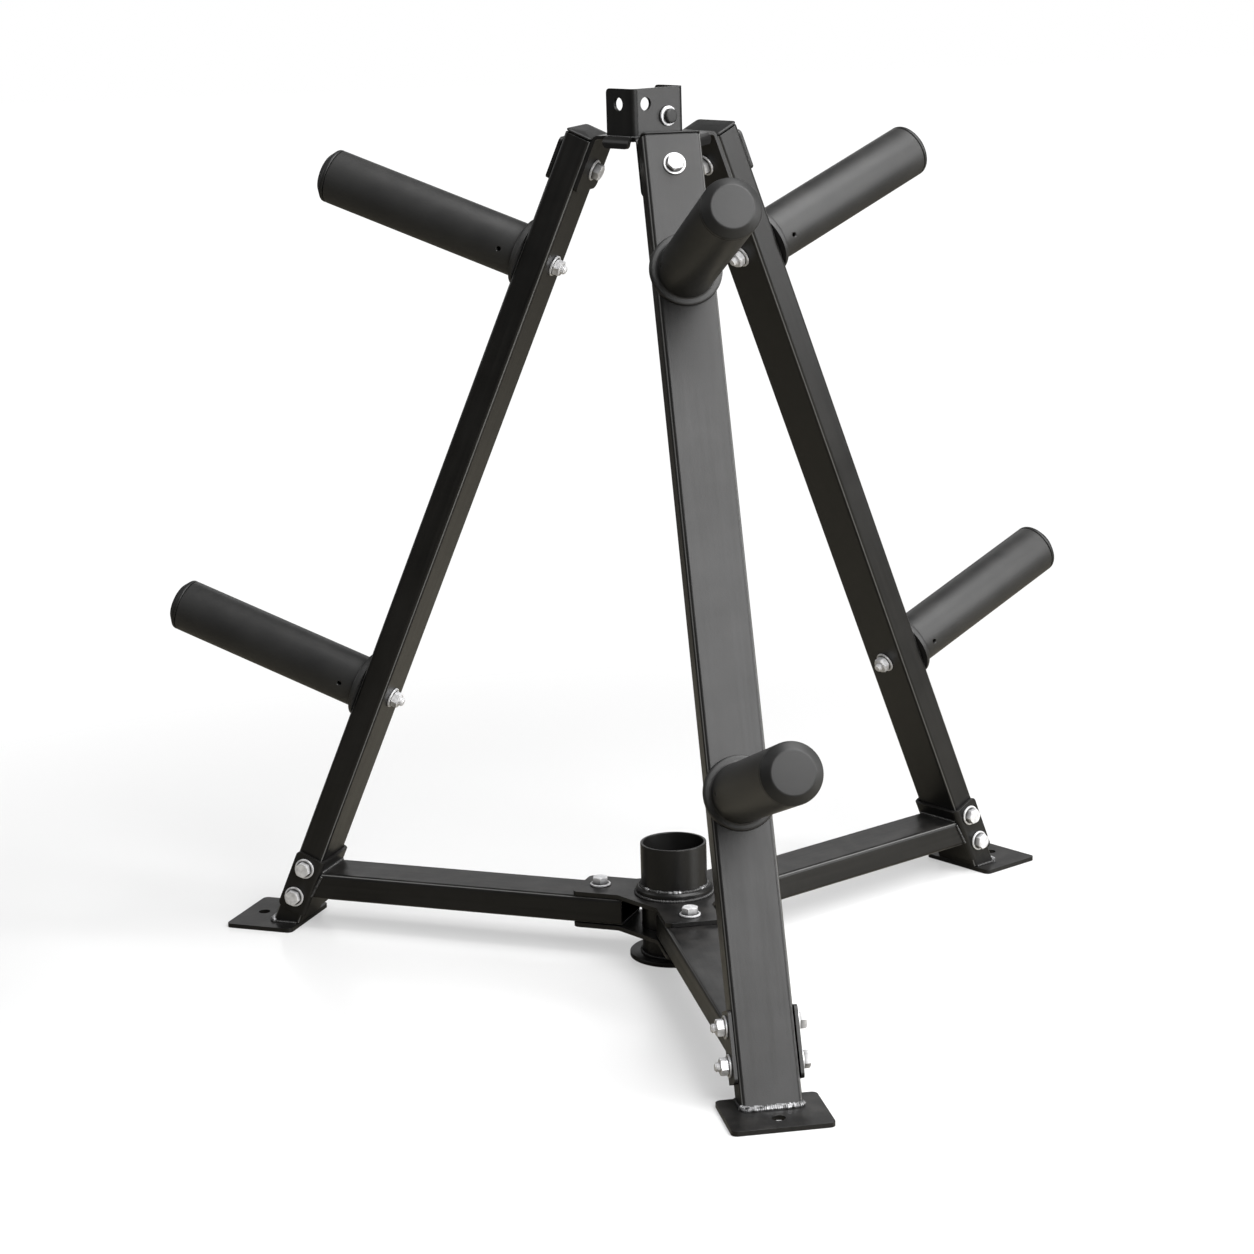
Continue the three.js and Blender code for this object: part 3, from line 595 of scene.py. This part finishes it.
hub = {
    "bendRadius": 0.003, "tongueLength": 0.0525, "tongueCorner": 0.006, "tongueWidth": 0.0508,
    "flangeInset": 0.002, "flangeHeight": 0.01, "flangeWidth": 0.034, "flangeCorner": 0.005,
    "bendSteps": 8, "edge": 0.0005, "boltDrop": 0.026, "boltHoleRadius": 0.0045,
}
hubOuter = hub["bendRadius"] + stand["sheet"]


def hubEdge(faceRadius, slope, drop):
    angle = quarter - slope
    lost = hubOuter * tan(angle / 2)
    start, arc = faceRadius - lost, angle * hubOuter
    return {"start": start, "angle": angle, "arc": arc, "end": start + arc + (drop - lost), "lost": lost}


def makeHub():
    sheet = stand["sheet"]
    tongue = hubEdge(stand["hubRadius"], lean, hub["tongueLength"])
    flange = hubEdge(stand["hubRadius"] - hub["flangeInset"], 0, hub["flangeHeight"])
    rise = (stand["hubRise"] + gap * sin(lean)) / cos(lean)
    holeRadius = tongue["start"] + tongue["arc"] + (hub["boltDrop"] + rise - tongue["lost"])
    sides, outline, holes = [], [], []
    for index, name in legs:
        azimuth = azimuthOf(index)
        sides.append((azimuth, tongue, hub["tongueWidth"], hub["tongueCorner"]))
        sides.append((azimuth + legStep / 2, flange, hub["flangeWidth"], hub["flangeCorner"]))
        holes.append(holeOnSpoke(index, holeRadius, hub["boltHoleRadius"]))
    for azimuth, edge, width, corner in sides:
        outline += tabPoints(azimuth, edge["start"], edge["end"], width / 2, corner)
    bm = flatPlate(outline, holes, sheet)
    steps = hub["bendSteps"]
    for azimuth, edge, width, corner in sides:
        cuts = [edge["start"] + edge["arc"] * step / steps for step in range(steps + 1)]
        slicePlate(bm, cuts, (cos(azimuth), sin(azimuth), 0))
    for vert in bm.verts:
        for azimuth, edge, width, corner in sides:
            local = Matrix.Rotation(-azimuth, 4, "Z") @ vert.co
            if local.x > edge["start"] + 1e-7 and abs(local.y) < width / 2 + 1e-5:
                local.x, local.z = bentPoint(
                    local.x, local.z, edge["start"], edge["angle"], hub["bendRadius"], sheet)
                vert.co = Matrix.Rotation(azimuth, 4, "Z") @ local
                break
    sheetPiece("folded_hub", bm, shift(0, 0, hubTop - sheet), hub["edge"], "hub_plate", folded=True)


makeHub()

nutPlate = {
    "length": 0.038, "width": 0.046, "thickness": 0.003, "corner": 0.004, "boreRadius": 0.00425,
    "edge": 0.0005,
}
hubStation = stand["legLength"] - hub["boltDrop"]


# The front leg's plate is behind its tongue, and the other two lie on the legs' outer faces.
def makeNutPlate(index, name):
    outline = roundedRectangle(nutPlate["length"], nutPlate["width"], nutPlate["corner"])
    bm = flatPlate(outline, [circlePoints(0, 0, nutPlate["boreRadius"], 32)], nutPlate["thickness"])
    base = tongueFace - gap - nutPlate["thickness"] if name == "front" else gap
    matrix = legMatrix(index) @ shift(base, 0, hubStation) @ zAlongX
    sheetPiece("tapped_plate_" + name, bm, matrix, nutPlate["edge"], "nut_plate_" + name)


for index, name in legs:
    makeNutPlate(index, name)
print("hub made")


# Channels bent from sheet: the bracket on the hub and the shoes round the feet of the legs. A
# channel's web faces +X, its flanges run back along -X and its length is along Z. A hole's side is
# 0 in the web, and 1 or -1 in a flange.

def channel(width, depth, height, look, holes, bottomCorner=0):
    sheet, fold, corner, steps = look["sheet"], look["foldRadius"], look["corner"], look["foldSteps"]
    bend = quarter * fold
    webHalf = width / 2 - fold
    half = depth - fold + bend + webHalf
    outline = []
    for x, y, radius, start in [(-half, 0, bottomCorner, pi), (half, 0, bottomCorner, 3 * quarter),
                                (half, height, corner, 0), (-half, height, corner, quarter)]:
        centreX = x + copysign(radius, -x)
        centreY = y - radius if y else radius
        outline += arcPoints(centreX, centreY, radius, start, start + quarter, 6) if radius else [(x, y)]
    loops = []
    for side, along, up, radius in holes:
        middle = side * (webHalf + bend + along - fold) if side else along
        loops.append(circlePoints(middle, up, radius, 36))
    bm = flatPlate(outline, loops, sheet)
    for side in (-1, 1):
        slicePlate(bm, [side * (webHalf + bend * step / steps) for step in range(steps + 1)], (1, 0, 0))
    for vert in bm.verts:
        side = 1 if vert.co.x >= 0 else -1
        x, z = bentPoint(abs(vert.co.x), vert.co.z, webHalf, quarter, fold - sheet, sheet)
        vert.co = (z - sheet, side * x, vert.co.y)
    return bm


bracket = {
    "azimuth": radians(-60), "width": 0.058, "depth": 0.036, "height": 0.04, "corner": 0.004,
    "offset": 0.039, "holeRadius": 0.00575, "holeDrop": 0.013, "webHoleInset": 0.014,
    "flangeHoleInset": 0.02, "sheet": 0.003, "foldRadius": 0.006, "foldSteps": 8, "edge": 0.0005,
}
pin = {
    "radius": 0.004, "headRadius": 0.0065, "headHeight": 0.004, "rise": 0.0155, "inset": 0.038,
    "reach": 0.022, "tip": 0.0012, "round": 0.0007, "collarRadius": 0.0085, "collarThickness": 0.002,
    "collarRound": 0.0006, "lip": 0.0005, "slide": 0.00008,
}
webFace = bracket["depth"] / 2
bracketMatrix = Matrix.Rotation(bracket["azimuth"], 4, "Z") @ shift(0, 0, hubTop + gap)
pinMatrix = bracketMatrix @ shift(webFace, pin["inset"] - bracket["offset"], pin["rise"]) @ zAlongX


def makeBracket():
    half, inset, hole = bracket["width"] / 2, bracket["flangeHoleInset"], bracket["holeRadius"]
    up = bracket["height"] - bracket["holeDrop"]
    holes = [(0, bracket["webHoleInset"] - half, up, hole),
             (0, pin["inset"] - half, pin["rise"], pin["radius"] + pin["slide"]),
             (-1, inset, up, hole), (1, inset, up, hole)]
    bm = channel(bracket["width"], bracket["depth"], bracket["height"], bracket, holes)
    matrix = bracketMatrix @ shift(webFace, half - bracket["offset"], 0)
    sheetPiece("pin_bracket", bm, matrix, bracket["edge"], "hub_bracket", folded=True)


makeBracket()

shoe = {
    "bottom": 0.026, "top": 0.085, "sheet": 0.003, "foldRadius": 0.005, "foldSteps": 8, "corner": 0.004,
    "boltRise": 0.015, "boltSpacing": 0.031, "boltDepth": 0.013, "holeRadius": 0.0045, "edge": 0.0006,
}
shoeOuterHalf = halfTube + gap + shoe["sheet"]
shoeWebFace = innerFace - gap - shoe["sheet"]
shoeStations = [shoe["bottom"] + shoe["boltRise"] + row * shoe["boltSpacing"] for row in (0, 1)]


def makeShoe(index, name):
    depth = -shoeWebFace
    holes = [(side, depth - shoe["boltDepth"], station - shoe["bottom"], shoe["holeRadius"])
             for station in shoeStations for side in (-1, 1)]
    bm = channel(2 * shoeOuterHalf, depth, shoe["top"] - shoe["bottom"], shoe, holes, shoe["corner"])
    matrix = legMatrix(index) @ shift(-depth, 0, shoe["bottom"]) @ Matrix.Rotation(pi, 4, "Z")
    sheetPiece("shoe_" + name, bm, matrix, shoe["edge"], "brace_shoe_" + name, folded=True)


for index, name in legs:
    makeShoe(index, name)
print("brackets made")


# Braces and star plates

brace = {"bottom": 0.03, "start": 0.043}
star = {
    "thickness": 0.004, "reach": 0.091, "corner": 0.006, "gusset": 0.046, "boltRadius": 0.072,
    "holeRadius": {"top": 0.0045, "bottom": 0.00425}, "edge": 0.0006,
}
cup = {
    "radius": 0.0302, "wall": 0.0026, "rim": 0.107, "collarRadius": 0.035, "collarHeight": 0.007,
    "collarChamfer": 0.002, "discRadius": 0.042, "discThickness": 0.004, "round": 0.0008, "lip": 0.001,
}
braceTop = brace["bottom"] + stand["tubeDepth"]
starTop = braceTop + gap + star["thickness"]
starBottomBase = brace["bottom"] - gap - star["thickness"]


# How far out a brace reaches at a height, up to the shoe's slanting web
def braceEnd(height):
    return footRadius + (shoeWebFace - gap - height * sin(lean)) / cos(lean)


# A section's first coordinate is height once the tube lies along X.
def makeBrace(index, name):
    middle = brace["bottom"] + stand["tubeDepth"] / 2
    bm = tubeWall(tubeSection(0), tubeSection(stand["tubeWall"]),
                  lambda x, y: brace["start"], lambda x, y: braceEnd(middle - x))
    matrix = spokeMatrix(index) @ shift(0, 0, middle) @ zAlongX
    sheetPiece("brace_tube_" + name, bm, matrix, legLook["edge"], "brace_" + name)


def makeStarPlate(level, base):
    outline = []
    holes = [circlePoints(0, 0, cup["radius"] + gap, 96)]
    for index, name in legs:
        outline += tabPoints(azimuthOf(index), star["gusset"], star["reach"], halfTube, star["corner"])
        holes.append(holeOnSpoke(index, star["boltRadius"], star["holeRadius"][level]))
    bm = flatPlate(outline, holes, star["thickness"])
    sheetPiece("star_sheet_" + level, bm, shift(0, 0, base), star["edge"], "star_plate_" + level)


for index, name in legs:
    makeBrace(index, name)
makeStarPlate("top", braceTop + gap)
makeStarPlate("bottom", starBottomBase)
print("base made")


# Bar cup, its collar and the disc under it

def makeCup():
    radius, rim, lip, small = cup["radius"], cup["rim"], cup["lip"], cup["round"]
    discRadius, thickness = cup["discRadius"], cup["discThickness"]
    disc = filleted([(0, 0), (discRadius, 0), (discRadius, thickness), (0, thickness)], small)
    base = thickness + gap
    inner = radius - cup["wall"]
    wall = filleted([(inner, base), (radius, base), (radius, rim), (inner, rim), (inner, base + lip)],
                    small, steps=4, skip=(1,))
    low = starTop + gap
    top = low + cup["collarHeight"]
    bore, outer, chamfer = radius + gap, cup["collarRadius"], cup["collarChamfer"]
    ring = filleted([
        (bore, low), (outer, low), (outer, top - chamfer), (outer - chamfer, top), (bore, top),
        (bore, low + lip),
    ], small)
    turnedPiece("cup_tube", wall, 128, "framePaint", "bar_cup_tube")
    turnedPiece("cup_ring", ring, 128, "framePaint", "bar_cup_collar")
    turnedPiece("cup_disc", disc, 128, "framePaint", "floor_disc")


# Lock pin and its collar
def makePin():
    radius, headRadius, point = pin["radius"], pin["headRadius"], pin["tip"]
    tip = -stand["sheet"] - pin["reach"]
    head = 2 * gap + pin["collarThickness"]
    top = head + pin["headHeight"]
    profile = filleted([
        (0, tip), (radius - point, tip), (radius, tip + point), (radius, head), (headRadius, head),
        (headRadius, top - point), (headRadius - point, top), (0, top),
    ], pin["round"], steps=4, skip=(3,))
    bore = radius + pin["slide"]
    face = gap + pin["collarThickness"]
    outer = pin["collarRadius"]
    ring = filleted([(bore, gap), (outer, gap), (outer, face), (bore, face), (bore, gap + pin["lip"])],
                    pin["collarRound"])
    turnedPiece("pull_pin", profile, 64, "blackPlastic", "lock_pin", pinMatrix, "pin")
    turnedPiece("pin_ring", ring, 64, "brightZinc", "pin_collar", pinMatrix)


makeCup()
makePin()
print("cup and pin made")


# Bolts: a washer with a hex head, and a washer with a nut and its thread end, set on many places.
# Each template's seat is at z = 0 and it stands up along Z.

bolt = {
    "radius": 0.004, "acrossFlats": 0.013, "headHeight": 0.006, "nutHeight": 0.0065,
    "washerRadius": 0.0095, "washerThickness": 0.0016, "washerRound": 0.0004, "threadEnd": 0.004,
    "tappedEnd": 0.002, "pitch": 0.00125, "threadDepth": 0.0007, "threadChamfer": 0.0012,
    "tipLength": 0.0006, "chamferAngle": radians(30), "chamferStart": 0.96, "beyondCorner": 0.0004,
    # how far past the hex's corners the painted shade reaches on the washer's face
    "crevice": 0.0003, "spinSeed": 7,
}
hexCorner = bolt["acrossFlats"] / 2 / cos(pi / 6)
washerTop = bolt["washerThickness"]
headTop = washerTop + bolt["headHeight"]
nutTop = washerTop + bolt["nutHeight"]
fineAngle = 28  # degrees, above which an edge of a small piece is sharp


# A hex whose corners are turned off at an angle, as on a real head or nut
def chamferedHex(high, bothEnds):
    bm = bmesh.new()
    low = washerTop
    rings = [[bm.verts.new((x, y, z)) for x, y in circlePoints(0, 0, hexCorner, 6)] for z in (low, high)]
    bm.faces.new(list(reversed(rings[0])))
    bm.faces.new(rings[1])
    skinRings(bm, rings)
    flat = bolt["acrossFlats"] / 2 * bolt["chamferStart"]
    corner = hexCorner + bolt["beyondCorner"]
    drop = (corner - flat) * tan(bolt["chamferAngle"])
    bottom = [(0, low), (flat, low), (corner, low + drop)] if bothEnds else [(0, low), (corner, low)]
    form = turned(bottom + [(corner, high - drop), (flat, high), (0, high)], 60)
    return combined(meshFrom(bm, "hexBody"), meshFrom(form, "hexForm"), "INTERSECT")


def threadMesh(low, start, tip):
    root = bolt["radius"] - bolt["threadDepth"]
    points = [(0, low)]
    height = start
    while height + bolt["pitch"] < tip - bolt["tipLength"]:
        points += [(root, height), (bolt["radius"], height + bolt["pitch"] / 2)]
        height += bolt["pitch"]
    points += [(root, height), (bolt["radius"] - bolt["threadChamfer"], tip), (0, tip)]
    return meshFrom(turned(points, 32), "thread", None, fineAngle)


def washerMesh():
    radius = bolt["washerRadius"]
    # The two rings just outside the hex give the painted shade its edge.
    ring = filleted([
        (0, 0), (radius, 0), (radius, washerTop), (hexCorner + 0.001, washerTop),
        (hexCorner + 0.0001, washerTop), (0, washerTop),
    ], bolt["washerRound"], skip=(3, 4))
    return meshFrom(turned(ring, 48), "washer", None, fineAngle)


def gathered(meshes):
    bm = bmesh.new()
    for mesh in meshes:
        bm.from_mesh(mesh)
    return bm


# The point attribute made here is 1 where the hex meets its washer: painted shade darkens the washer's face
# round the hex and the foot of the hex's sides.
def template(name, parts):
    bm = gathered(parts)
    crevice = bm.verts.layers.float.new("crevice")
    for vert in bm.verts:
        if abs(vert.co.z - washerTop) < 1e-5 and vert.co.xy.length < hexCorner + bolt["crevice"]:
            vert[crevice] = 1.0
    return addObject(name, meshFrom(bm, name, None, fineAngle))


# Every geometry tree ends in plain faces with their material.
def endTree(tree, given, result, instances):
    faces = addNode(tree, "GeometryNodeRealizeInstances", {0: instances})
    painted = addNode(tree, "GeometryNodeSetMaterial", {
        "Geometry": faces[0], "Material": given["Material"],
    })
    feed(tree, result, {0: painted[0]})
    return tree


# Sets a template on every point, turned by the point's own angles and spun about its own axis.
def makeSetTree():
    tree, given, result = newGroup("fastenerSet", "GeometryNodeTree", {
        "Geometry": "Geometry", "Template": "Object", "Scale": "Float", "Seed": "Int",
        "Material": "Material",
    }, {"Geometry": "Geometry"})
    info = addNode(tree, "GeometryNodeObjectInfo", {"Object": given["Template"]})
    angles = addNode(tree, "GeometryNodeInputNamedAttribute", {"Name": "turn"}, data_type="FLOAT_VECTOR")
    rotation = addNode(tree, "FunctionNodeEulerToRotation", {0: angles["Attribute"]})
    instance = addNode(tree, "GeometryNodeInstanceOnPoints", {
        "Points": given["Geometry"], "Instance": info["Geometry"], "Rotation": rotation[0],
        "Scale": given["Scale"],
    })
    spin = addNode(tree, "FunctionNodeRandomValue", {3: pi / 3, "Seed": given["Seed"]},
                   data_type="FLOAT")
    axis = addNode(tree, "ShaderNodeCombineXYZ", {"Z": spin[1]})
    spinRotation = addNode(tree, "FunctionNodeEulerToRotation", {0: axis[0]})
    rotate = addNode(tree, "GeometryNodeRotateInstances", {
        "Instances": instance[0], "Rotation": spinRotation[0],
    })
    return endTree(tree, given, result, rotate[0])


def runTree(name, mesh, tree, values):
    holder = addObject(name, mesh)
    modifier = holder.modifiers.new("nodes", "NODES")
    modifier.node_group = tree
    for item in tree.interface.items_tree:
        if item.in_out == "INPUT" and item.name in values:
            modifier[item.identifier] = values[item.name]
    return applied(holder)


def placeSet(name, kind, places, seed):
    mesh = bpy.data.meshes.new(name + "Points")
    mesh.from_pydata([tuple(place.translation) for place in places], [], [])
    turn = mesh.attributes.new("turn", "FLOAT_VECTOR", "POINT")
    for item, place in zip(turn.data, places):
        item.vector = tuple(place.to_euler("XYZ"))
    values = {"Template": kind, "Scale": 1.0, "Seed": seed, "Material": materials["brightZinc"]}
    return runTree(name, mesh, setTree, values)


setTree = makeSetTree()
kinds = {
    "head": template("head", [washerMesh(), chamferedHex(headTop, False)]),
    "nut": template("nut", [washerMesh(), chamferedHex(nutTop, True),
                            threadMesh(washerTop, washerTop + 0.001, nutTop + bolt["threadEnd"])]),
    # the thread end that shows where a bolt is screwed through a plate
    "end": template("end", [threadMesh(-bolt["tappedEnd"], -bolt["tappedEnd"], bolt["tappedEnd"])]),
}
headSides = {"front": 1, "right": -1, "left": 1}
# each piece's sets, with the template of each, and how the CAD nodes' names start
fasteners = {
    "stud_nuts": ({"studs": "nut"}, "post_stud_"),
    "hub_heads": ({"hubHeads": "head"}, "hub_bolt_"),
    "shoe_fasteners": ({"shoeHeads": "head", "shoeNuts": "nut"}, "shoe_bolt_"),
    "star_fasteners": ({"starHeads": "head", "starEnds": "end"}, "star_bolt_"),
}


def makeFasteners():
    places = {}

    def put(label, matrix, place, outward):
        turn = Vector(outward).to_track_quat("Z", "Y").to_matrix().to_4x4()
        places.setdefault(label, []).append(matrix @ Matrix.Translation(place) @ turn)

    for index, name in legs:
        leg, spoke, side = legMatrix(index), spokeMatrix(index), headSides[name]
        for station in post["stations"].values():
            put("studs", leg, (innerFace - gap, 0, station), (-1, 0, 0))
        if name == "front":
            put("hubHeads", leg, (gap, 0, hubStation), (1, 0, 0))
        else:
            put("hubHeads", leg, (tongueFace - gap, 0, hubStation), (-1, 0, 0))
        depth, away = -shoe["boltDepth"], side * (shoeOuterHalf + gap)
        for station in shoeStations:
            put("shoeHeads", leg, (depth, away, station), (0, side, 0))
            put("shoeNuts", leg, (depth, -away, station), (0, -side, 0))
        put("starHeads", spoke, (star["boltRadius"], 0, starTop + gap), (0, 0, 1))
        put("starEnds", spoke, (star["boltRadius"], 0, starBottomBase), (0, 0, -1))
    seed = bolt["spinSeed"]
    for name, (sets, prefix) in fasteners.items():
        meshes = []
        for label, kind in sets.items():
            meshes.append(placeSet(label, kinds[kind], places[label], seed))
            seed += 1
        replaced = [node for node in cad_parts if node.startswith(prefix)]
        newPiece(name, meshFrom(gathered(meshes), name, None, fineAngle), "brightZinc", replaced)


makeFasteners()
for kind in kinds.values():
    bpy.data.objects.remove(kind)
print("fasteners made")


# Weld beads: small overlapping scales along a path.

weld = {
    "spacing": 0.0011, "seed": 3, "footRadius": 0.0028, "bareRadius": 0.0019, "paintedRadius": 0.0016,
    "scaleShape": (1.0, 1.0, 0.62), "leastScale": 0.82, "mostScale": 1.18,
    # how far the middle of a bead stands off what it lies on
    "clear": 0.0004, "low": 0.0006, "high": 0.0012, "ringRise": 0.0008, "endInset": 0.003,
    # out from the leg's face and in from its side, round half of a foot's front
    "footCorner": [(-0.003, 0.0005), (0, 0.003), (0.001, 0.006)], "footOut": 0.0002,
    # steps of the seam between the cup and its collar where the bead is bare
    "seamSteps": 72, "glints": [(6, 10), (22, 25), (40, 43), (46, 48), (50, 55), (57, 58), (62, 65)],
}


def makeBeadTree():
    tree, given, result = newGroup("weldBead", "GeometryNodeTree", {
        "Geometry": "Geometry", "Radius": "Float", "Spacing": "Float", "Seed": "Int",
        "Material": "Material",
    }, {"Geometry": "Geometry"})
    curve = addNode(tree, "GeometryNodeMeshToCurve", {"Mesh": given["Geometry"]})
    points = addNode(tree, "GeometryNodeCurveToPoints", {"Curve": curve[0], "Length": given["Spacing"]},
                     mode="LENGTH")
    ball = addNode(tree, "GeometryNodeMeshUVSphere", {"Segments": 8, "Rings": 5, "Radius": given["Radius"]})
    scale = addNode(tree, "GeometryNodeTransform", {"Geometry": ball[0], "Scale": weld["scaleShape"]})
    smooth = addNode(tree, "GeometryNodeSetShadeSmooth", {"Geometry": scale[0]})
    size = addNode(tree, "FunctionNodeRandomValue", {
        2: weld["leastScale"], 3: weld["mostScale"], "Seed": given["Seed"],
    }, data_type="FLOAT")
    instance = addNode(tree, "GeometryNodeInstanceOnPoints", {
        "Points": points["Points"], "Instance": smooth[0], "Rotation": points["Rotation"],
        "Scale": size[1],
    })
    return endTree(tree, given, result, instance[0])


beadTree = makeBeadTree()


def bead(paths, finish, radius, seed, spacing=weld["spacing"]):
    mesh = bpy.data.meshes.new("beadPath")
    verts, edges = [], []
    for path, closed in paths:
        start = len(verts)
        verts += path
        edges += [(start + i, start + i + 1) for i in range(len(path) - 1)]
        if closed:
            edges.append((start + len(path) - 1, start))
    mesh.from_pydata(verts, edges, [])
    values = {"Radius": radius, "Spacing": spacing, "Seed": seed, "Material": materials[finish]}
    return runTree("bead", mesh, beadTree, values)


def ringPath(radius, height):
    return [Vector((x, y, height)) for x, y in circlePoints(0, 0, radius, weld["seamSteps"])]


def makeWelds():
    floorTop, clear, inset = footPlate["thickness"], weld["clear"], weld["endInset"]
    front = footRadius - floorTop * tan(lean) + clear
    back = front - stand["tubeDepth"] / cos(lean)
    edgeY = halfTube + weld["footOut"]
    bottom = brace["bottom"]
    lowEnd, highEnd = braceEnd(bottom), braceEnd(braceTop)
    corner = weld["footCorner"]
    half = [(front + x, y - edgeY) for x, y in corner]
    around = half + [(x, -y) for x, y in reversed(half)]
    feet, painted = [], []
    for index, name in legs:
        spoke = spokeMatrix(index)
        feet.append(([spoke @ Vector((x, y, floorTop + weld["high"])) for x, y in around], False))
        lines = [[(x, side * edgeY, floorTop + weld["low"]) for x in (front - inset, back + inset)]
                 for side in (-1, 1)]
        lines.append([(highEnd, y, braceTop + clear) for y in (inset - halfTube, halfTube - inset)])
        for side in (-1, 1):
            wallY = side * (halfTube + clear)
            lines.append([(lowEnd, wallY, bottom + inset), (highEnd, wallY, braceTop - inset)])
        painted += [([spoke @ Vector(point) for point in line], False) for line in lines]
    seam = ringPath(cup["radius"] + clear, starTop + cup["collarHeight"] + weld["low"])
    painted.append((ringPath(cup["collarRadius"] + clear, starTop + weld["ringRise"]), True))
    painted.append((ringPath(cup["radius"] + weld["low"], cup["discThickness"] + weld["ringRise"]), True))
    painted.append((seam, True))
    bare = [(seam[start:end], False) for start, end in weld["glints"]]
    seed = weld["seed"]
    meshes = [bead(feet, "weldMetal", weld["footRadius"], seed, 1.5 * weld["spacing"]),
              bead(bare, "weldMetal", weld["bareRadius"], seed + 2)]
    newPiece("bare_welds", meshFrom(gathered(meshes), "bare_welds", None, fineAngle), "weldMetal")
    newPiece("painted_welds", bead(painted, "paintedWeld", weld["paintedRadius"], seed + 1), "paintedWeld")


makeWelds()
print("welds made")


# Camera, lights and floor. Angles are in degrees.

def direction(azimuth, elevation):
    around, up = radians(azimuth), radians(elevation)
    return Vector((cos(up) * cos(around), cos(up) * sin(around), sin(up)))


view = {
    "at": (-0.5019, -2.6559, 0.9408), "yaw": 80.07, "pitch": -13.17, "roll": -1.65,
    "focalPixels": 3100.0, "imagePixels": 1254, "sensor": 36.0,
}


def makeCamera():
    roll = radians(view["roll"])
    ahead = direction(view["yaw"], view["pitch"])
    level = ahead.cross(Vector((0, 0, 1))).normalized()
    above = level.cross(ahead)
    right = cos(roll) * level + sin(roll) * above
    up = cos(roll) * above - sin(roll) * level
    data = bpy.data.cameras.new("camera")
    data.sensor_width = view["sensor"]
    data.lens = view["focalPixels"] / view["imagePixels"] * view["sensor"]
    camera = addObject("camera", data)
    camera.matrix_world = Matrix.Translation(view["at"]) @ Matrix((right, up, -ahead)).transposed().to_4x4()
    bpy.context.scene.camera = camera


makeCamera()

lamps = {
    # azimuth, elevation, distance and (width, height) in metres, power in watts
    "softFront": (-76, 30, 2.6, (1.2, 2.0), 68),
    "softRight": (-22, 18, 2.4, (1.2, 1.8), 42),
    "softSide": (-45, 34, 2.6, (0.6, 1.4), 20),
    "softTop": (-31, 67, 2.4, (1.8, 1.8), 86),
    "lowBack": (78, 17, 2.6, (2.4, 0.6), 5),
    "softBack": (165, 30, 2.8, (1.4, 1.4), 11),
    "edgeRight": (-34, 4, 2.2, (0.22, 1.8), 8),
}
studio = {
    "aim": (0, 0, 0.38), "ambient": 0.12, "glossy": 0.16,
    "paperColor": 0.4, "paperGlow": 0.28, "glowTint": (1.0, 0.92, 0.74), "farColor": 0.2,
    "nearRadius": 0.5, "farRadius": 1.35, "lift": 0.42, "paperRoughness": 0.24, "paperSpecular": 0.25,
    "floorSize": 14, "floorDrop": 0.0002,
}


def makeLamp(name, azimuth, elevation, distance, size, power):
    towards = direction(azimuth, elevation)
    data = bpy.data.lights.new(name, "AREA")
    data.shape = "RECTANGLE"
    data.size, data.size_y = size
    data.energy = power
    lamp = addObject(name, data)
    lamp.visible_camera = False
    lamp.location = Vector(studio["aim"]) + towards * distance
    lamp.rotation_euler = towards.to_track_quat("Z", "Y").to_euler()


for name, values in lamps.items():
    makeLamp(name, *values)


# The camera sees the paper melt into white, and other rays see it get darker with distance.
def makeFloor():
    mesh = bpy.data.meshes.new("floor")
    size = studio["floorSize"]
    corners = [(-size, -size, 0), (size, -size, 0), (size, size, 0), (-size, size, 0)]
    mesh.from_pydata(corners, [], [(0, 1, 2, 3)])
    floor = addObject("floor", mesh)
    floor.location = (0, 0, -studio["floorDrop"])
    material = bpy.data.materials.new("paper")
    material.use_nodes = True
    tree = material.node_tree
    place = addNode(tree, "ShaderNodeTexCoord", {})["Object"]
    distance = addNode(tree, "ShaderNodeVectorMath", {0: place}, operation="LENGTH")["Value"]
    camera = addNode(tree, "ShaderNodeLightPath", {})["Is Camera Ray"]

    def fade(near, far):
        return addRange(tree, distance, studio["nearRadius"], studio["farRadius"], near, far,
                        interpolation_type="SMOOTHSTEP")

    glow = addNode(tree, "ShaderNodeVectorMath", {
        0: studio["glowTint"], "Scale": fade(studio["paperGlow"], studio["farColor"]),
    }, operation="SCALE")[0]
    feed(tree, tree.nodes["Principled BSDF"], {
        "Base Color": mixColors(tree, camera, glow, fade(studio["paperColor"], 0.0)),
        "Emission Color": (1, 1, 1, 1),
        "Emission Strength": addMath(tree, "MULTIPLY", camera, fade(studio["lift"], 1.0)),
        "Roughness": studio["paperRoughness"], "Specular IOR Level": studio["paperSpecular"],
    })
    mesh.materials.append(material)


def makeWorld():
    world = bpy.data.worlds.new("studio")
    bpy.context.scene.world = world
    world.use_nodes = True
    tree = world.node_tree
    rays = addNode(tree, "ShaderNodeLightPath", {})
    seen = addMath(tree, "MAXIMUM", rays["Is Camera Ray"], rays["Is Transmission Ray"])
    glossy = addMath(tree, "MULTIPLY", rays["Is Glossy Ray"], studio["glossy"])
    strength = addMath(tree, "MAXIMUM", addMath(tree, "MAXIMUM", seen, glossy), studio["ambient"])
    feed(tree, tree.nodes["Background"], {"Color": (1, 1, 1, 1), "Strength": strength})


makeFloor()
makeWorld()
bpy.context.scene.view_settings.view_transform = "Standard"

print("pieces:", len(pieces))
